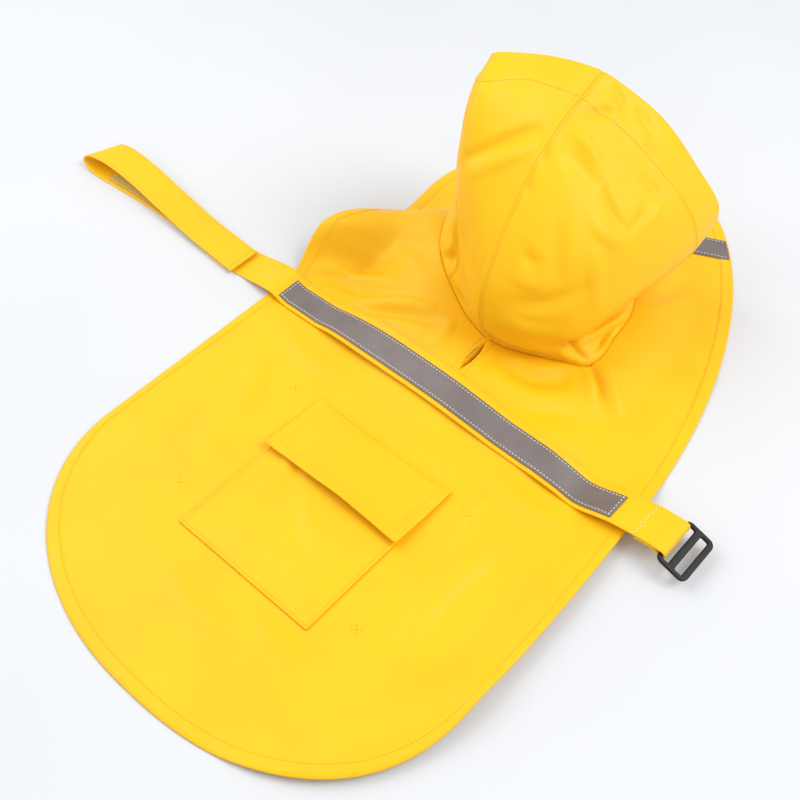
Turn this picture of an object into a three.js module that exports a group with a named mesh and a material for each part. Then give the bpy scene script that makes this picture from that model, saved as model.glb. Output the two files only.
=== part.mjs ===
// A dog's hooded raincoat, laid out on a table: one round panel of coated cloth with a neck hole, a
// two-panel hood, a back pocket with a flap, and a belly strap that ends in a slider buckle.
// Millimetres, +Z up. +Y runs along the coat from its tail to its hood and +X to the buckle.
import * as THREE from "three";
import { mergeVertices } from "three/addons/utils/BufferGeometryUtils.js";

// Cloth and trim.
const CLOTH = 1.2;
const STRAP_THICK = 1.8;
const TAPE_THICK = 0.9;
const PATCH_THICK = 0.8;
const GAP = 0.3;
const BRIDGE = 11;

// The round panel, measured from the middle of the strap.
const BACK_WIDTH = 392;
const STRAIGHT_SIDE = 200;
const TAIL_REACH = 151;
const TAIL_POWER = { left: 2.1, right: 2.4 };
const CHEST_REACH = 375;
const CHEST_POWER = 1.8;
const NECK_Y = 150;
const LEFT_FLAP = { shift: 38, from: 130, to: 250 };
const LEFT_SHOULDER = { shift: 6, y: 60, reach: 60 };
const RIGHT_SIDE = { shift: 7, y: -140, reach: 210 };
const SLIT_FROM_NECK = 42;
const SLIT_WIDTH = 7;

// Strap, reflective tapes and fastening patches.
const STRAP_WIDTH = 36;
const STRAP_Y = 2;
const TAPE_WIDTH = 25;
const TAPE_LENGTH = 368;
const CHEST_TAPE = { x: 26, y: 288, turn: 25, shortest: 30, steps: 6 };
const LOOP_PATCH = { from: -432, to: -264, width: 28 };
const HOOK_PATCH = { from: -300, to: -264, width: 28 };

// Pocket.
const POCKET = { width: 140, top: -74, bottom: -233 };
const FLAP = { width: 144, top: -69, bottom: -137, lift: 8 };

// Slider buckle.
const BUCKLE = {
  width: 45,
  length: 29,
  thick: 3,
  rail: 3.6,
  firstBar: 3.4,
  slots: [{ from: 1.7, to: 8.8 }, { from: 14.6, to: 22.6 }],
  corner: 6,
  slotCorner: 1,
};
const BUCKLE_BAR = { x: 232, y: STRAP_Y, z: 19 };
const BUCKLE_TILT = 0.33;

// How the strap runs: it lies on the panel, then on the table, and wraps the buckle's first bar.
const LOOSE_WIDTH = 34;
const STRAP_NARROWS = { from: -250, to: -200 };
const STRAP_ON_PANEL = 192;
const STRAP_ON_TABLE = 238;
const STRAP_RISES = 150;
const WRAP_RADIUS = 3.6;
const WRAP_TURNS = { from: 95, to: -80, step: 25 };
const RETURN_X = [224, 216, 209];
const RETURN_GAP = 0.9;
const STATION = 8;
const PATCH_STATION = 15;
const POCKET_COLUMNS = 6;
const POCKET_ROWS = 8;
const FLAP_ROWS = 7;
const LOOSE_STEPS = 48;

// The origin is on the table, under the middle of the pocket.
const STRAP_FROM_ORIGIN = 150;

// The strap's loose end, from its free end round the loop to the layer on the table. The skew is how
// far its far edge runs ahead of its near one.
const LOOSE_END = [
  { layer: "top", x: -241, y: -3, z: 5.2, skew: 0 },
  { layer: "top", x: -270, y: -1, z: 5.2, skew: 0 },
  { layer: "top", x: -300, y: 0.5, z: 5.8, skew: 0 },
  { layer: "top", x: -330, y: 3, z: 7.8, skew: 0 },
  { layer: "top", x: -360, y: 5.5, z: 10.5, skew: 0 },
  { layer: "top", x: -390, y: 8, z: 13.5, skew: 1 },
  { layer: "top", x: -420, y: 9, z: 16.5, skew: 3 },
  { layer: "loop", x: -442, y: 7.5, z: 18, skew: 7 },
  { layer: "loop", x: -456, y: 5, z: 15.5, skew: 12 },
  { layer: "loop", x: -461, y: 3, z: 9.5, skew: 14 },
  { layer: "loop", x: -456, y: 1.5, z: 3, skew: 10 },
  { layer: "table", x: -444, y: 1, z: 0.9, skew: 5 },
  { layer: "table", x: -415, y: 3, z: 0.9, skew: 1 },
  { layer: "table", x: -385, y: 5, z: 0.9, skew: 0 },
  { layer: "table", x: -350, y: 6, z: 0.9, skew: 0 },
  { layer: "table", x: -320, y: 5, z: 0.9, skew: 0 },
  { layer: "table", x: -289, y: 2, z: 0.9, skew: 0 },
  { layer: "table", x: -262, y: -1, z: 0.9, skew: 0 },
];

// The neck edge round its centre: turn in degrees from +X, radius, height over the table, and how far
// out the cloth takes to come down from it.
const NECK = [
  { turn: -107, radius: 84, height: 20, reach: 118 },
  { turn: -90, radius: 84, height: 17, reach: 118 },
  { turn: -63, radius: 79, height: 13, reach: 100 },
  { turn: -44, radius: 82, height: 10, reach: 70 },
  { turn: -29, radius: 91, height: 9, reach: 60 },
  { turn: -3, radius: 78, height: 9, reach: 60 },
  { turn: 26, radius: 79, height: 10, reach: 60 },
  { turn: 44, radius: 81, height: 10, reach: 60 },
  { turn: 90, radius: 85, height: 10, reach: 60 },
  { turn: 124, radius: 90, height: 18, reach: 60 },
  { turn: 156, radius: 98, height: 22, reach: 60 },
  { turn: 178, radius: 106, height: 30, reach: 65 },
  { turn: 190, radius: 109, height: 43, reach: 80 },
  { turn: 219, radius: 94, height: 35, reach: 92 },
  { turn: 233, radius: 87, height: 27, reach: 105 },
];

// Swells of the cloth off the table: a crest line, its height at both ends, and how far the cloth takes
// to come down on the left and on the right of that line.
const SWELLS = [
  { name: "left shoulder", x: [-212, -118], y: [62, 138], height: [38, 36], left: 54, right: 46 },
  { name: "right hem", x: [207, 203], y: [14, -190], height: [8, 12], left: 48, right: 48 },
  { name: "tail corner", x: [203, 128], y: [-190, -338], height: [12, 5], left: 46, right: 46 },
  { name: "under the strap", x: [-120, 90], y: [12, 18], height: [2, 8], left: 50, right: 50 },
];

// The hood, section by section round the neck. Each runs up from the neck edge at its turn through
// four heights of the side to the brim, each [x, y, z].
const HOOD = [
  {
    name: "right throat",
    turn: 84,
    skirt: [14, 237, 15],
    low: [20, 239, 20],
    high: [26, 241, 24],
    crown: [31, 242, 28],
    brim: [36, 243, 32],
  },
  {
    name: "right front",
    turn: 55,
    skirt: [54, 218, 22],
    low: [66, 224, 32],
    high: [74, 235, 42],
    crown: [80, 246, 52],
    brim: [84, 256, 62],
  },
  {
    name: "right brim corner",
    turn: 22,
    skirt: [63, 176, 27],
    low: [88, 186, 64],
    high: [94, 204, 72],
    crown: [95, 232, 86],
    brim: [92, 257, 98],
  },
  {
    name: "right side",
    turn: -8,
    skirt: [63, 141, 27],
    low: [84, 135, 70],
    high: [83, 155, 98],
    crown: [79, 202, 125],
    brim: [65, 250, 134],
  },
  {
    name: "right back corner",
    turn: -35,
    skirt: [61, 103, 28],
    low: [67, 90, 54],
    high: [55, 108, 118],
    crown: [45, 168, 152],
    brim: [32, 240, 170],
  },
  {
    name: "right back",
    turn: -62,
    skirt: [38, 68, 38],
    low: [34, 66, 80],
    high: [24, 92, 132],
    crown: [16, 150, 172],
    brim: [3, 227, 192],
  },
  {
    name: "centre seam",
    turn: -90,
    skirt: [-2, 55, 47],
    low: [-4, 55, 90],
    high: [-9, 82, 137],
    crown: [-15, 140, 183],
    brim: [-20, 214, 207],
  },
  {
    name: "left back",
    turn: -122,
    skirt: [-36, 72, 52],
    low: [-38, 72, 100],
    high: [-42, 84, 157],
    crown: [-50, 132, 202],
    brim: [-56, 192, 215],
  },
  {
    name: "left fold",
    turn: -143,
    skirt: [-59, 92, 54],
    low: [-61, 92, 102],
    high: [-63, 92, 160],
    crown: [-71, 118, 206],
    brim: [-85, 160, 221],
  },
  {
    name: "left side",
    turn: -172,
    skirt: [-92, 128, 76],
    low: [-90, 130, 110],
    high: [-92, 138, 158],
    crown: [-98, 160, 192],
    brim: [-99, 188, 188],
  },
  {
    name: "left front",
    turn: -212,
    skirt: [-80, 188, 54],
    low: [-86, 196, 78],
    high: [-92, 204, 104],
    crown: [-96, 210, 124],
    brim: [-97, 214, 134],
  },
  {
    name: "left throat",
    turn: -264,
    skirt: [-14, 237, 16],
    low: [-20, 239, 25],
    high: [-27, 241, 34],
    crown: [-33, 242, 42],
    brim: [-38, 243, 50],
  },
];
const HOOD_LEVELS = ["skirt", "low", "high", "crown", "brim"];
const SEAM_SECTION = 6;
const HOOD_COLLAR = 6;
const HOOD_INSET = 0.9;
const SECTION_WIDTH = 30;

// Grid sizes.
const BODY_TURNS = 60;
const SLIT_ROWS = { from: 1, to: 5 };
const NEAR_ROWS = [0, 3, 12, 22, 32, SLIT_FROM_NECK];
const BODY_OUTER_ROWS = 10;
const HOOD_STEPS = 3;
const HOOD_ROWS = 11;

// ---------------------------------------------------------------- small helpers

const radians = THREE.MathUtils.degToRad;
const clamp = THREE.MathUtils.clamp;
const lerp = THREE.MathUtils.lerp;
const smooth = (value, from, to) => THREE.MathUtils.smoothstep(value, from, to);

// A bell that is 1 at 0 and exactly 0 from 1 on.
function bell(q) {
  const rest = Math.max(0, 1 - q * q);
  return rest * rest;
}

// A smooth value round the neck from one column of a table.
function around(table, column, turn) {
  const count = table.length;
  const first = table[0].turn;
  const wrapped = first + THREE.MathUtils.euclideanModulo(turn - first, 360);
  const row = (index) => {
    const laps = Math.floor(index / count);
    const entry = table[index - laps * count];
    return { turn: entry.turn + 360 * laps, value: entry[column] };
  };
  let index = 0;
  while (row(index + 1).turn <= wrapped) index += 1;
  const [before, start, end, after] = [row(index - 1), row(index), row(index + 1), row(index + 2)];
  const span = end.turn - start.turn;
  const t = (wrapped - start.turn) / span;
  const slopeStart = ((end.value - before.value) / (end.turn - before.turn)) * span;
  const slopeEnd = ((after.value - start.value) / (after.turn - start.turn)) * span;
  return (
    start.value * (2 * t ** 3 - 3 * t ** 2 + 1) +
    slopeStart * (t ** 3 - 2 * t ** 2 + t) +
    end.value * (3 * t ** 2 - 2 * t ** 3) +
    slopeEnd * (t ** 3 - t ** 2)
  );
}

// Even steps from one value to another, both included.
function stations(from, to, step) {
  const count = Math.round(Math.abs(to - from) / step);
  return Array.from({ length: count + 1 }, (_, k) => lerp(from, to, k / count));
}

function curve(points) {
  return new THREE.CatmullRomCurve3(points);
}

function mesh(name, geometry, finish) {
  const piece = new THREE.Mesh(geometry, new THREE.MeshStandardMaterial(finish));
  piece.name = name;
  return piece;
}

// A wall of cloth from rows of points on its lower or inner side. The cloth's face looks along
// (step to the next row) x (step along the row), and the wall is built that way. Points that
// coincide are welded, so a row may close on itself.
function clothSolid(rows, thickness) {
  const flat = new THREE.BufferGeometry().setAttribute(
    "position",
    new THREE.Float32BufferAttribute(rows.flat().flatMap((p) => [p.x, p.y, p.z]), 3),
  );
  const width = rows[0].length;
  const faces = [];
  for (let i = 0; i + 1 < rows.length; i += 1) {
    for (let j = 0; j + 1 < width; j += 1) {
      const corner = i * width + j;
      faces.push(corner, corner + width, corner + width + 1);
      faces.push(corner, corner + width + 1, corner + 1);
    }
  }
  flat.setIndex(faces);
  const sheet = mergeVertices(flat, 1e-3);
  sheet.computeVertexNormals();
  const position = sheet.attributes.position;
  const normal = sheet.attributes.normal;
  const count = position.count;
  const points = [...position.array];
  for (let k = 0; k < count; k += 1) {
    points.push(
      position.getX(k) + thickness * normal.getX(k),
      position.getY(k) + thickness * normal.getY(k),
      position.getZ(k) + thickness * normal.getZ(k),
    );
  }
  const index = [...sheet.index.array];
  const walls = [];
  const edges = new Map();
  for (let k = 0; k < index.length; k += 3) {
    const [a, b, c] = [index[k], index[k + 1], index[k + 2]];
    walls.push(c, b, a, a + count, b + count, c + count);
    for (const [from, to] of [[a, b], [b, c], [c, a]]) {
      edges.set(`${from} ${to}`, [from, to]);
    }
  }
  for (const [from, to] of edges.values()) {
    if (edges.has(`${to} ${from}`)) continue;
    walls.push(from, to, to + count, from, to + count, from + count);
  }
  return new THREE.BufferGeometry()
    .setAttribute("position", new THREE.Float32BufferAttribute(points, 3))
    .setIndex(walls);
}

// ---------------------------------------------------------------- the round panel

// The left chest flap lies splayed outwards, and the right side spreads a little.
function hemShift(x, y) {
  const side = smooth(Math.abs(x), 0, BACK_WIDTH / 3);
  const shoulder = LEFT_SHOULDER.shift * bell((y - LEFT_SHOULDER.y) / LEFT_SHOULDER.reach);
  const flap = LEFT_FLAP.shift * smooth(y, LEFT_FLAP.from, LEFT_FLAP.to);
  if (x < 0) return -(shoulder + flap) * side;
  return RIGHT_SIDE.shift * bell((y - RIGHT_SIDE.y) / RIGHT_SIDE.reach) * side;
}

function insideHem(x, y) {
  const across = Math.abs(x - hemShift(x, y)) / (BACK_WIDTH / 2);
  if (y > 0) return across ** CHEST_POWER + (y / CHEST_REACH) ** CHEST_POWER < 1;
  const past = Math.max(0, -y - STRAIGHT_SIDE) / TAIL_REACH;
  const power = x < 0 ? TAIL_POWER.left : TAIL_POWER.right;
  return across ** power + past ** power < 1;
}

// How far the hem is from the neck's centre in one direction.
function hemRadius(turn) {
  let near = 0;
  let far = 800;
  while (far - near > 0.01) {
    const middle = (near + far) / 2;
    const inside = insideHem(middle * Math.cos(radians(turn)), NECK_Y + middle * Math.sin(radians(turn)));
    if (inside) near = middle;
    else far = middle;
  }
  return near;
}

function swellHeight(swell, x, y) {
  const along = new THREE.Vector2(swell.x[1] - swell.x[0], swell.y[1] - swell.y[0]);
  const from = new THREE.Vector2(x - swell.x[0], y - swell.y[0]);
  const t = clamp(from.dot(along) / along.lengthSq(), 0, 1);
  const side = along.cross(from) > 0 ? swell.left : swell.right;
  const away = from.addScaledVector(along, -t).length();
  return lerp(swell.height[0], swell.height[1], t) * bell(away / side);
}

// Height of the panel's underside over the table. The parts blend softly, and stay exactly flat where
// none of them reaches.
function panelHeight(x, y) {
  const turn = THREE.MathUtils.radToDeg(Math.atan2(y - NECK_Y, x));
  const out = Math.hypot(x, y - NECK_Y) - around(NECK, "radius", turn);
  const rise = around(NECK, "height", turn) * bell(Math.max(0, out) / around(NECK, "reach", turn));
  const parts = [rise, ...SWELLS.map((swell) => swellHeight(swell, x, y))];
  return parts.reduce((sum, part) => sum + part ** 4, 0) ** 0.25;
}

function panelPoint(x, y) {
  return new THREE.Vector3(x, y, panelHeight(x, y));
}

// Height at which stiffer pieces rest on the panel: they bridge its small hollows.
function restingHeight(x, y) {
  const steps = [-BRIDGE, 0, BRIDGE];
  return Math.max(...steps.flatMap((dx) => steps.map((dy) => panelHeight(x + dx, y + dy)))) + CLOTH + GAP;
}

// Directions from the neck's centre whose hem points are evenly spaced, starting at the centre back.
function evenTurns(count) {
  const samples = 1440;
  const at = (k) => {
    const turn = -90 + (360 * k) / samples;
    const radius = hemRadius(turn);
    return new THREE.Vector2(radius * Math.cos(radians(turn)), radius * Math.sin(radians(turn)));
  };
  const lengths = [0];
  let last = at(0);
  for (let k = 1; k <= samples; k += 1) {
    const next = at(k);
    lengths.push(lengths[k - 1] + next.distanceTo(last));
    last = next;
  }
  const turns = [];
  let k = 0;
  for (let step = 0; step < count; step += 1) {
    while (lengths[k] < (lengths[samples] * step) / count) k += 1;
    turns.push(-90 + (360 * k) / samples);
  }
  return turns;
}

// Distances from the neck edge of the rows round it: close ones along the slit, then even ones.
function rowDistance(row, reach) {
  if (row < NEAR_ROWS.length) return NEAR_ROWS[row];
  return lerp(SLIT_FROM_NECK, reach, (row - NEAR_ROWS.length + 1) / BODY_OUTER_ROWS);
}

function bodyPanel() {
  const turns = evenTurns(BODY_TURNS);
  const rows = stations(0, SLIT_ROWS.to + BODY_OUTER_ROWS, 1).map((row) => {
    const ring = turns.map((turn) => {
      const neck = around(NECK, "radius", turn);
      const radius = neck + rowDistance(row, hemRadius(turn) - neck);
      return panelPoint(radius * Math.cos(radians(turn)), NECK_Y + radius * Math.sin(radians(turn)));
    });
    const along = (row - SLIT_ROWS.from) / (SLIT_ROWS.to - SLIT_ROWS.from);
    const slit = along > 0 && along < 1 ? SLIT_WIDTH * Math.sin(Math.PI * along) : 0;
    const [first, last] = [slit / 2, -slit / 2].map((x) => panelPoint(x, ring[0].y));
    return [first, ...ring.slice(1), last];
  });
  return clothSolid(rows, CLOTH);
}

// ---------------------------------------------------------------- the hood

// The foot of the hood stands just inside the neck edge, and its cloth starts straight up from there.
function hoodFoot(turn) {
  const radius = around(NECK, "radius", turn) - CLOTH - GAP - HOOD_INSET;
  const x = radius * Math.cos(radians(turn));
  const y = NECK_Y + radius * Math.sin(radians(turn));
  const foot = new THREE.Vector3(x, y, panelHeight(x, y) + CLOTH);
  return [foot, foot.clone().add(new THREE.Vector3(0, 0, HOOD_COLLAR))];
}

// One panel of the hood, between two of its sections.
function hoodPanel(first, last) {
  const turns = curve(HOOD.map(({ turn }) => new THREE.Vector3(turn, 0, 0)));
  const across = HOOD_LEVELS.map((level) => {
    return curve(HOOD.map((section) => new THREE.Vector3(...section[level])));
  });
  const steps = (last - first) * HOOD_STEPS;
  const seamGap = GAP / 2 / SECTION_WIDTH / (HOOD.length - 1);
  const uprights = Array.from({ length: steps + 1 }, (_, k) => {
    let t = (first + (k * (last - first)) / steps) / (HOOD.length - 1);
    if (k === 0 && first === SEAM_SECTION) t += seamGap;
    if (k === steps && last === SEAM_SECTION) t -= seamGap;
    return curve([...hoodFoot(turns.getPoint(t).x), ...across.map((level) => level.getPoint(t))]);
  });
  const rows = [];
  for (let row = 0; row <= HOOD_ROWS; row += 1) {
    rows.push(uprights.map((upright) => upright.getPoint(row / HOOD_ROWS)));
  }
  return clothSolid(rows, CLOTH);
}

// ---------------------------------------------------------------- strap, tapes and patches

// A strip of cloth along a path of { x, y, z, width, skew }, level across Y. The skew moves its far
// edge along X and its near edge back.
function strip(path, thickness) {
  const corners = [[-1, -1], [1, -1], [1, 1], [-1, 1]];
  const points = path.flatMap((point, index) => {
    const before = path[Math.max(0, index - 1)];
    const after = path[Math.min(path.length - 1, index + 1)];
    const along = new THREE.Vector3(after.x - before.x, after.y - before.y, after.z - before.z);
    const across = new THREE.Vector3(point.skew ?? 0, point.width, 0);
    const up = along.cross(across).setLength(thickness / 2);
    return corners.map(([side, top]) =>
      new THREE.Vector3(point.x, point.y, point.z).addScaledVector(across, side / 2).addScaledVector(up, top),
    );
  });
  const faces = [0, 2, 1, 0, 3, 2];
  for (let k = 0; k + 1 < path.length; k += 1) {
    corners.forEach((_, corner) => {
      const a = 4 * k + corner;
      const b = 4 * k + ((corner + 1) % 4);
      faces.push(a, b, b + 4, a, b + 4, a + 4);
    });
  }
  const last = 4 * (path.length - 1);
  faces.push(last, last + 1, last + 2, last, last + 2, last + 3);
  return new THREE.BufferGeometry().setFromPoints(points).setIndex(faces);
}

function strapWidth(x) {
  return lerp(LOOSE_WIDTH, STRAP_WIDTH, smooth(x, STRAP_NARROWS.from, STRAP_NARROWS.to));
}

// Middle of the strap's thickness: over the panel, down to the table on the left, up to the buckle on
// the right.
function strapHeight(x) {
  const edge = clamp(x, -STRAP_ON_PANEL, STRAP_ON_PANEL);
  const across = [-0.4, 0, 0.4].map((share) => restingHeight(edge, STRAP_Y + share * STRAP_WIDTH));
  const lying = Math.max(...across) + STRAP_THICK / 2;
  if (x < 0) return lerp(lying, STRAP_THICK / 2, smooth(-x, STRAP_ON_PANEL, STRAP_ON_TABLE));
  return lerp(lying, BUCKLE_BAR.z + WRAP_RADIUS, smooth(x, STRAP_RISES, BUCKLE_BAR.x));
}

function onStrap(x, lift = 0) {
  return { x, y: STRAP_Y, z: strapHeight(x) + lift };
}

// The loose end: its free end on top, the loop, and the layer on the table.
function looseEnd() {
  const path = curve(LOOSE_END.map(({ x, y, z }) => new THREE.Vector3(x, y, z)));
  const skews = curve(LOOSE_END.map(({ skew }) => new THREE.Vector3(skew, 0, 0)));
  return path.getPoints(LOOSE_STEPS).map(({ x, y, z }, k) => {
    const skew = skews.getPoint(k / LOOSE_STEPS).x;
    return { x, y, z: Math.max(z, STRAP_THICK / 2), skew };
  });
}

// Where the layer on the table runs, for what is sewn on it.
function lowerLayerY(x) {
  const lower = LOOSE_END.filter((row) => row.layer === "table");
  const next = Math.max(1, lower.findIndex((row) => row.x > x));
  const [a, b] = [lower[next - 1], lower[next]];
  return lerp(a.y, b.y, (x - a.x) / (b.x - a.x));
}

function bellyStrap() {
  const wrap = stations(WRAP_TURNS.from, WRAP_TURNS.to, WRAP_TURNS.step).map((turn) => ({
    x: BUCKLE_BAR.x + WRAP_RADIUS * Math.cos(radians(turn)),
    y: BUCKLE_BAR.y,
    z: BUCKLE_BAR.z + WRAP_RADIUS * Math.sin(radians(turn)),
  }));
  const back = RETURN_X.map((x) => onStrap(x, -STRAP_THICK - RETURN_GAP));
  const path = [...looseEnd(), ...stations(-240, 224, STATION).map((x) => onStrap(x)), ...wrap, ...back];
  return strip(path.map((point) => ({ ...point, width: strapWidth(point.x) })), STRAP_THICK);
}

function backTape() {
  const lift = (STRAP_THICK + TAPE_THICK) / 2 + GAP;
  const path = stations(-TAPE_LENGTH / 2, TAPE_LENGTH / 2, STATION).map((x) => onStrap(x, lift));
  return strip(path.map((point) => ({ ...point, y: 0, width: TAPE_WIDTH })), TAPE_THICK);
}

function patch({ from, to, width }, layersBelow) {
  const z = STRAP_THICK + GAP + PATCH_THICK / 2 + layersBelow * (PATCH_THICK + GAP);
  const path = stations(from, to, PATCH_STATION).map((x) => ({ x, y: lowerLayerY(x), z, width }));
  return strip(path, PATCH_THICK);
}

// A reflective tape on one side of the chest, from under the hood out to the hem.
function chestTape(side) {
  const along = new THREE.Vector2(Math.cos(radians(CHEST_TAPE.turn)), Math.sin(radians(CHEST_TAPE.turn)));
  const rows = stations(-0.5, 0.5, 0.25).map((share) => {
    const start = new THREE.Vector2(CHEST_TAPE.x, CHEST_TAPE.y);
    start.addScaledVector(new THREE.Vector2(along.y, -along.x), share * TAPE_WIDTH);
    let length = CHEST_TAPE.shortest;
    while (insideHem(start.x + along.x * (length + 1), start.y + along.y * (length + 1))) length += 0.5;
    return stations(0, length, length / CHEST_TAPE.steps).map((reach) => {
      const x = start.x + along.x * reach;
      const y = start.y + along.y * reach;
      const px = side * x + (side < 0 ? hemShift(-x, y) : 0);
      return new THREE.Vector3(px, y, restingHeight(px, y));
    });
  });
  return clothSolid(side > 0 ? rows : rows.reverse(), TAPE_THICK);
}

// ---------------------------------------------------------------- pocket

// Rows of points over the panel, from the bottom edge up, with a height over the panel's face.
function overPanel(width, ys, height) {
  return ys.map((y, row) =>
    stations(-width / 2, width / 2, width / POCKET_COLUMNS).map((x) => {
      return new THREE.Vector3(x, y, restingHeight(x, y) + height(row));
    }),
  );
}

function pocketPanel() {
  const ys = stations(POCKET.top, POCKET.bottom, (POCKET.top - POCKET.bottom) / POCKET_ROWS);
  return clothSolid(overPanel(POCKET.width, ys, () => 0), CLOTH);
}

// The flap is sewn down above the pocket, steps up over its edge and lifts towards its own free edge.
function pocketFlap() {
  const step = CLOTH + GAP;
  const start = POCKET.top + 1;
  const over = stations(start, FLAP.bottom, (start - FLAP.bottom) / FLAP_ROWS);
  const ys = [FLAP.top, POCKET.top + 3, ...over];
  const height = (row) => (row < 2 ? 0 : step + FLAP.lift * ((row - 2) / (over.length - 1)) ** 2);
  return clothSolid(overPanel(FLAP.width, ys, height), CLOTH);
}

// ---------------------------------------------------------------- slider buckle

function roundedPath(path, x0, x1, y0, y1, corner) {
  path.moveTo(x0 + corner, y0);
  path.lineTo(x1 - corner, y0);
  path.absarc(x1 - corner, y0 + corner, corner, -Math.PI / 2, 0);
  path.lineTo(x1, y1 - corner);
  path.absarc(x1 - corner, y1 - corner, corner, 0, Math.PI / 2);
  path.lineTo(x0 + corner, y1);
  path.absarc(x0 + corner, y1 - corner, corner, Math.PI / 2, Math.PI);
  path.lineTo(x0, y0 + corner);
  path.absarc(x0 + corner, y0 + corner, corner, Math.PI, Math.PI * 1.5);
  path.closePath();
  return path;
}

// Its frame with three bars and two slots. X starts at the middle of the bar that the strap holds.
function sliderBuckle() {
  const { width, length, thick, rail, firstBar, corner } = BUCKLE;
  const half = width / 2;
  const start = -firstBar / 2;
  const outline = roundedPath(new THREE.Shape(), start, start + length, -half, half, corner);
  const inner = half - rail;
  for (const { from, to } of BUCKLE.slots) {
    outline.holes.push(roundedPath(new THREE.Path(), from, to, -inner, inner, BUCKLE.slotCorner));
  }
  const solid = new THREE.ExtrudeGeometry(outline, { depth: thick, bevelEnabled: false, curveSegments: 4 });
  return solid.translate(0, 0, -thick / 2);
}

// ---------------------------------------------------------------- assembly

const YELLOW = { color: "#f7c70e", roughness: 0.5, metalness: 0 };
const STRAW = { color: "#d9bd57", roughness: 0.95, metalness: 0 };
const REFLECTIVE = { color: "#8e8588", roughness: 0.45, metalness: 0.2 };
const BLACK = { color: "#26262a", roughness: 0.4, metalness: 0 };

const coat = new THREE.Group();
coat.position.y = STRAP_FROM_ORIGIN;
coat.add(
  mesh("body_panel", bodyPanel(), YELLOW),
  mesh("hood_right", hoodPanel(0, SEAM_SECTION), YELLOW),
  mesh("hood_left", hoodPanel(SEAM_SECTION, HOOD.length - 1), YELLOW),
  mesh("belly_strap", bellyStrap(), YELLOW),
  mesh("back_tape", backTape(), REFLECTIVE),
  mesh("chest_tape_right", chestTape(1), REFLECTIVE),
  mesh("chest_tape_left", chestTape(-1), REFLECTIVE),
  mesh("loop_patch", patch(LOOP_PATCH, 0), STRAW),
  mesh("hook_patch", patch(HOOK_PATCH, 1), STRAW),
  mesh("pocket", pocketPanel(), YELLOW),
  mesh("pocket_flap", pocketFlap(), YELLOW),
);

const buckle = mesh("slider_buckle", sliderBuckle(), BLACK);
buckle.position.set(BUCKLE_BAR.x, BUCKLE_BAR.y, BUCKLE_BAR.z);
buckle.rotation.y = BUCKLE_TILT;
coat.add(buckle);

export default coat;
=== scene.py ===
import math

import bpy
import bmesh
import numpy as np
from mathutils import Euler, Matrix, Vector


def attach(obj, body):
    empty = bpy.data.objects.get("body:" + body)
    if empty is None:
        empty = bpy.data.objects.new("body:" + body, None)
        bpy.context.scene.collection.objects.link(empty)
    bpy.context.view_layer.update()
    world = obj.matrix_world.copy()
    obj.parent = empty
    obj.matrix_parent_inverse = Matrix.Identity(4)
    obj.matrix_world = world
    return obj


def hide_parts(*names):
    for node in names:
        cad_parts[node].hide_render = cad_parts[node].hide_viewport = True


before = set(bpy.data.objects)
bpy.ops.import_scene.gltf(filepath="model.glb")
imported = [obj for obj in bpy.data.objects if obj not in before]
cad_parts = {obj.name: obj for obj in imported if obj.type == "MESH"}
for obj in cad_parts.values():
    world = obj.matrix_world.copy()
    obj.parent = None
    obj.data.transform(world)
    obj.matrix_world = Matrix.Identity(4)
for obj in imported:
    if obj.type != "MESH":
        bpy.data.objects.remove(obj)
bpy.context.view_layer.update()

bl_info = {
    "name": "Dog raincoat",
    "version": (1, 0, 0),
    "blender": (4, 5, 0),
    "location": "View3D > Sidebar > Raincoat",
    "description": "Builds a hooded dog raincoat in coated cloth, laid out on a table",
    "category": "Add Mesh",
}

# Everything is laid out in millimetres from the middle of the strap, as a cutter would chalk it.
# to_row turns that into metres in the part's own frame.
STRAP_FROM_ORIGIN = 150
MM = 0.001

# ---------------------------------------------------------------- the cutter's sizes

CLOTH = 1.2
STRAP_THICK = 1.8
TAPE_THICK = 0.9
PATCH_THICK = 0.8
GAP = 0.3
BRIDGE = 11

BACK_WIDTH = 392
STRAIGHT_SIDE = 200
TAIL_REACH = 151
TAIL_POWER_LEFT = 2.1
TAIL_POWER_RIGHT = 2.4
CHEST_REACH = 375
CHEST_POWER = 1.8
NECK_Y = 150
SLIT_START = 3
SLIT_END = 42
SLIT_HALF = 4.0  # half its widest opening

STRAP_WIDTH = 36
LOOSE_WIDTH = 34
STRAP_Y = 2
TAPE_WIDTH = 25
TAPE_LENGTH = 368
STRAP_ON_PANEL = 192
STRAP_ON_TABLE = 238
STRAP_RISES = 150
BAR_X = 232
BAR_Z = 19
WRAP_RADIUS = 3.6
ZIGZAG_X = 207.0  # the zigzag that holds the strap behind the buckle
END_SEAM_X = -246.0  # the seam across the strap's free end, and its height
END_SEAM_Z = 5.35

POCKET_WIDTH = 140
POCKET_TOP = -74
POCKET_BOTTOM = -233
FLAP_WIDTH = 144
FLAP_TOP = -69
FLAP_BOTTOM = -137
FLAP_LIFT = 8

# The moulded slider: its extent and openings along the strap, the halves of its length and theirs
# across the strap, half its thickness and the radius of its edges.
BUCKLE_SPAN = (-1.7, 27.3)
BUCKLE_OPENINGS = ((1.7, 8.8), (14.8, 22.1))
BUCKLE_HALF = 22.5
OPENING_HALF = 18.9
BUCKLE_HALF_THICK = 1.7
BUCKLE_EDGE = 0.95

# The neck edge round its centre: turn from +X in degrees, radius, height, and the reach of its rise.
NECK = np.array([
    (-107, 84, 20, 118), (-90, 84, 17, 118), (-63, 79, 13, 100), (-44, 82, 10, 70),
    (-29, 91, 9, 60), (-3, 78, 9, 60), (26, 79, 10, 60), (44, 81, 10, 60), (90, 85, 10, 60),
    (124, 90, 18, 60), (156, 98, 22, 60), (178, 106, 30, 65), (190, 109, 43, 80),
    (219, 94, 35, 92), (233, 87, 27, 105),
], float)

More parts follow.
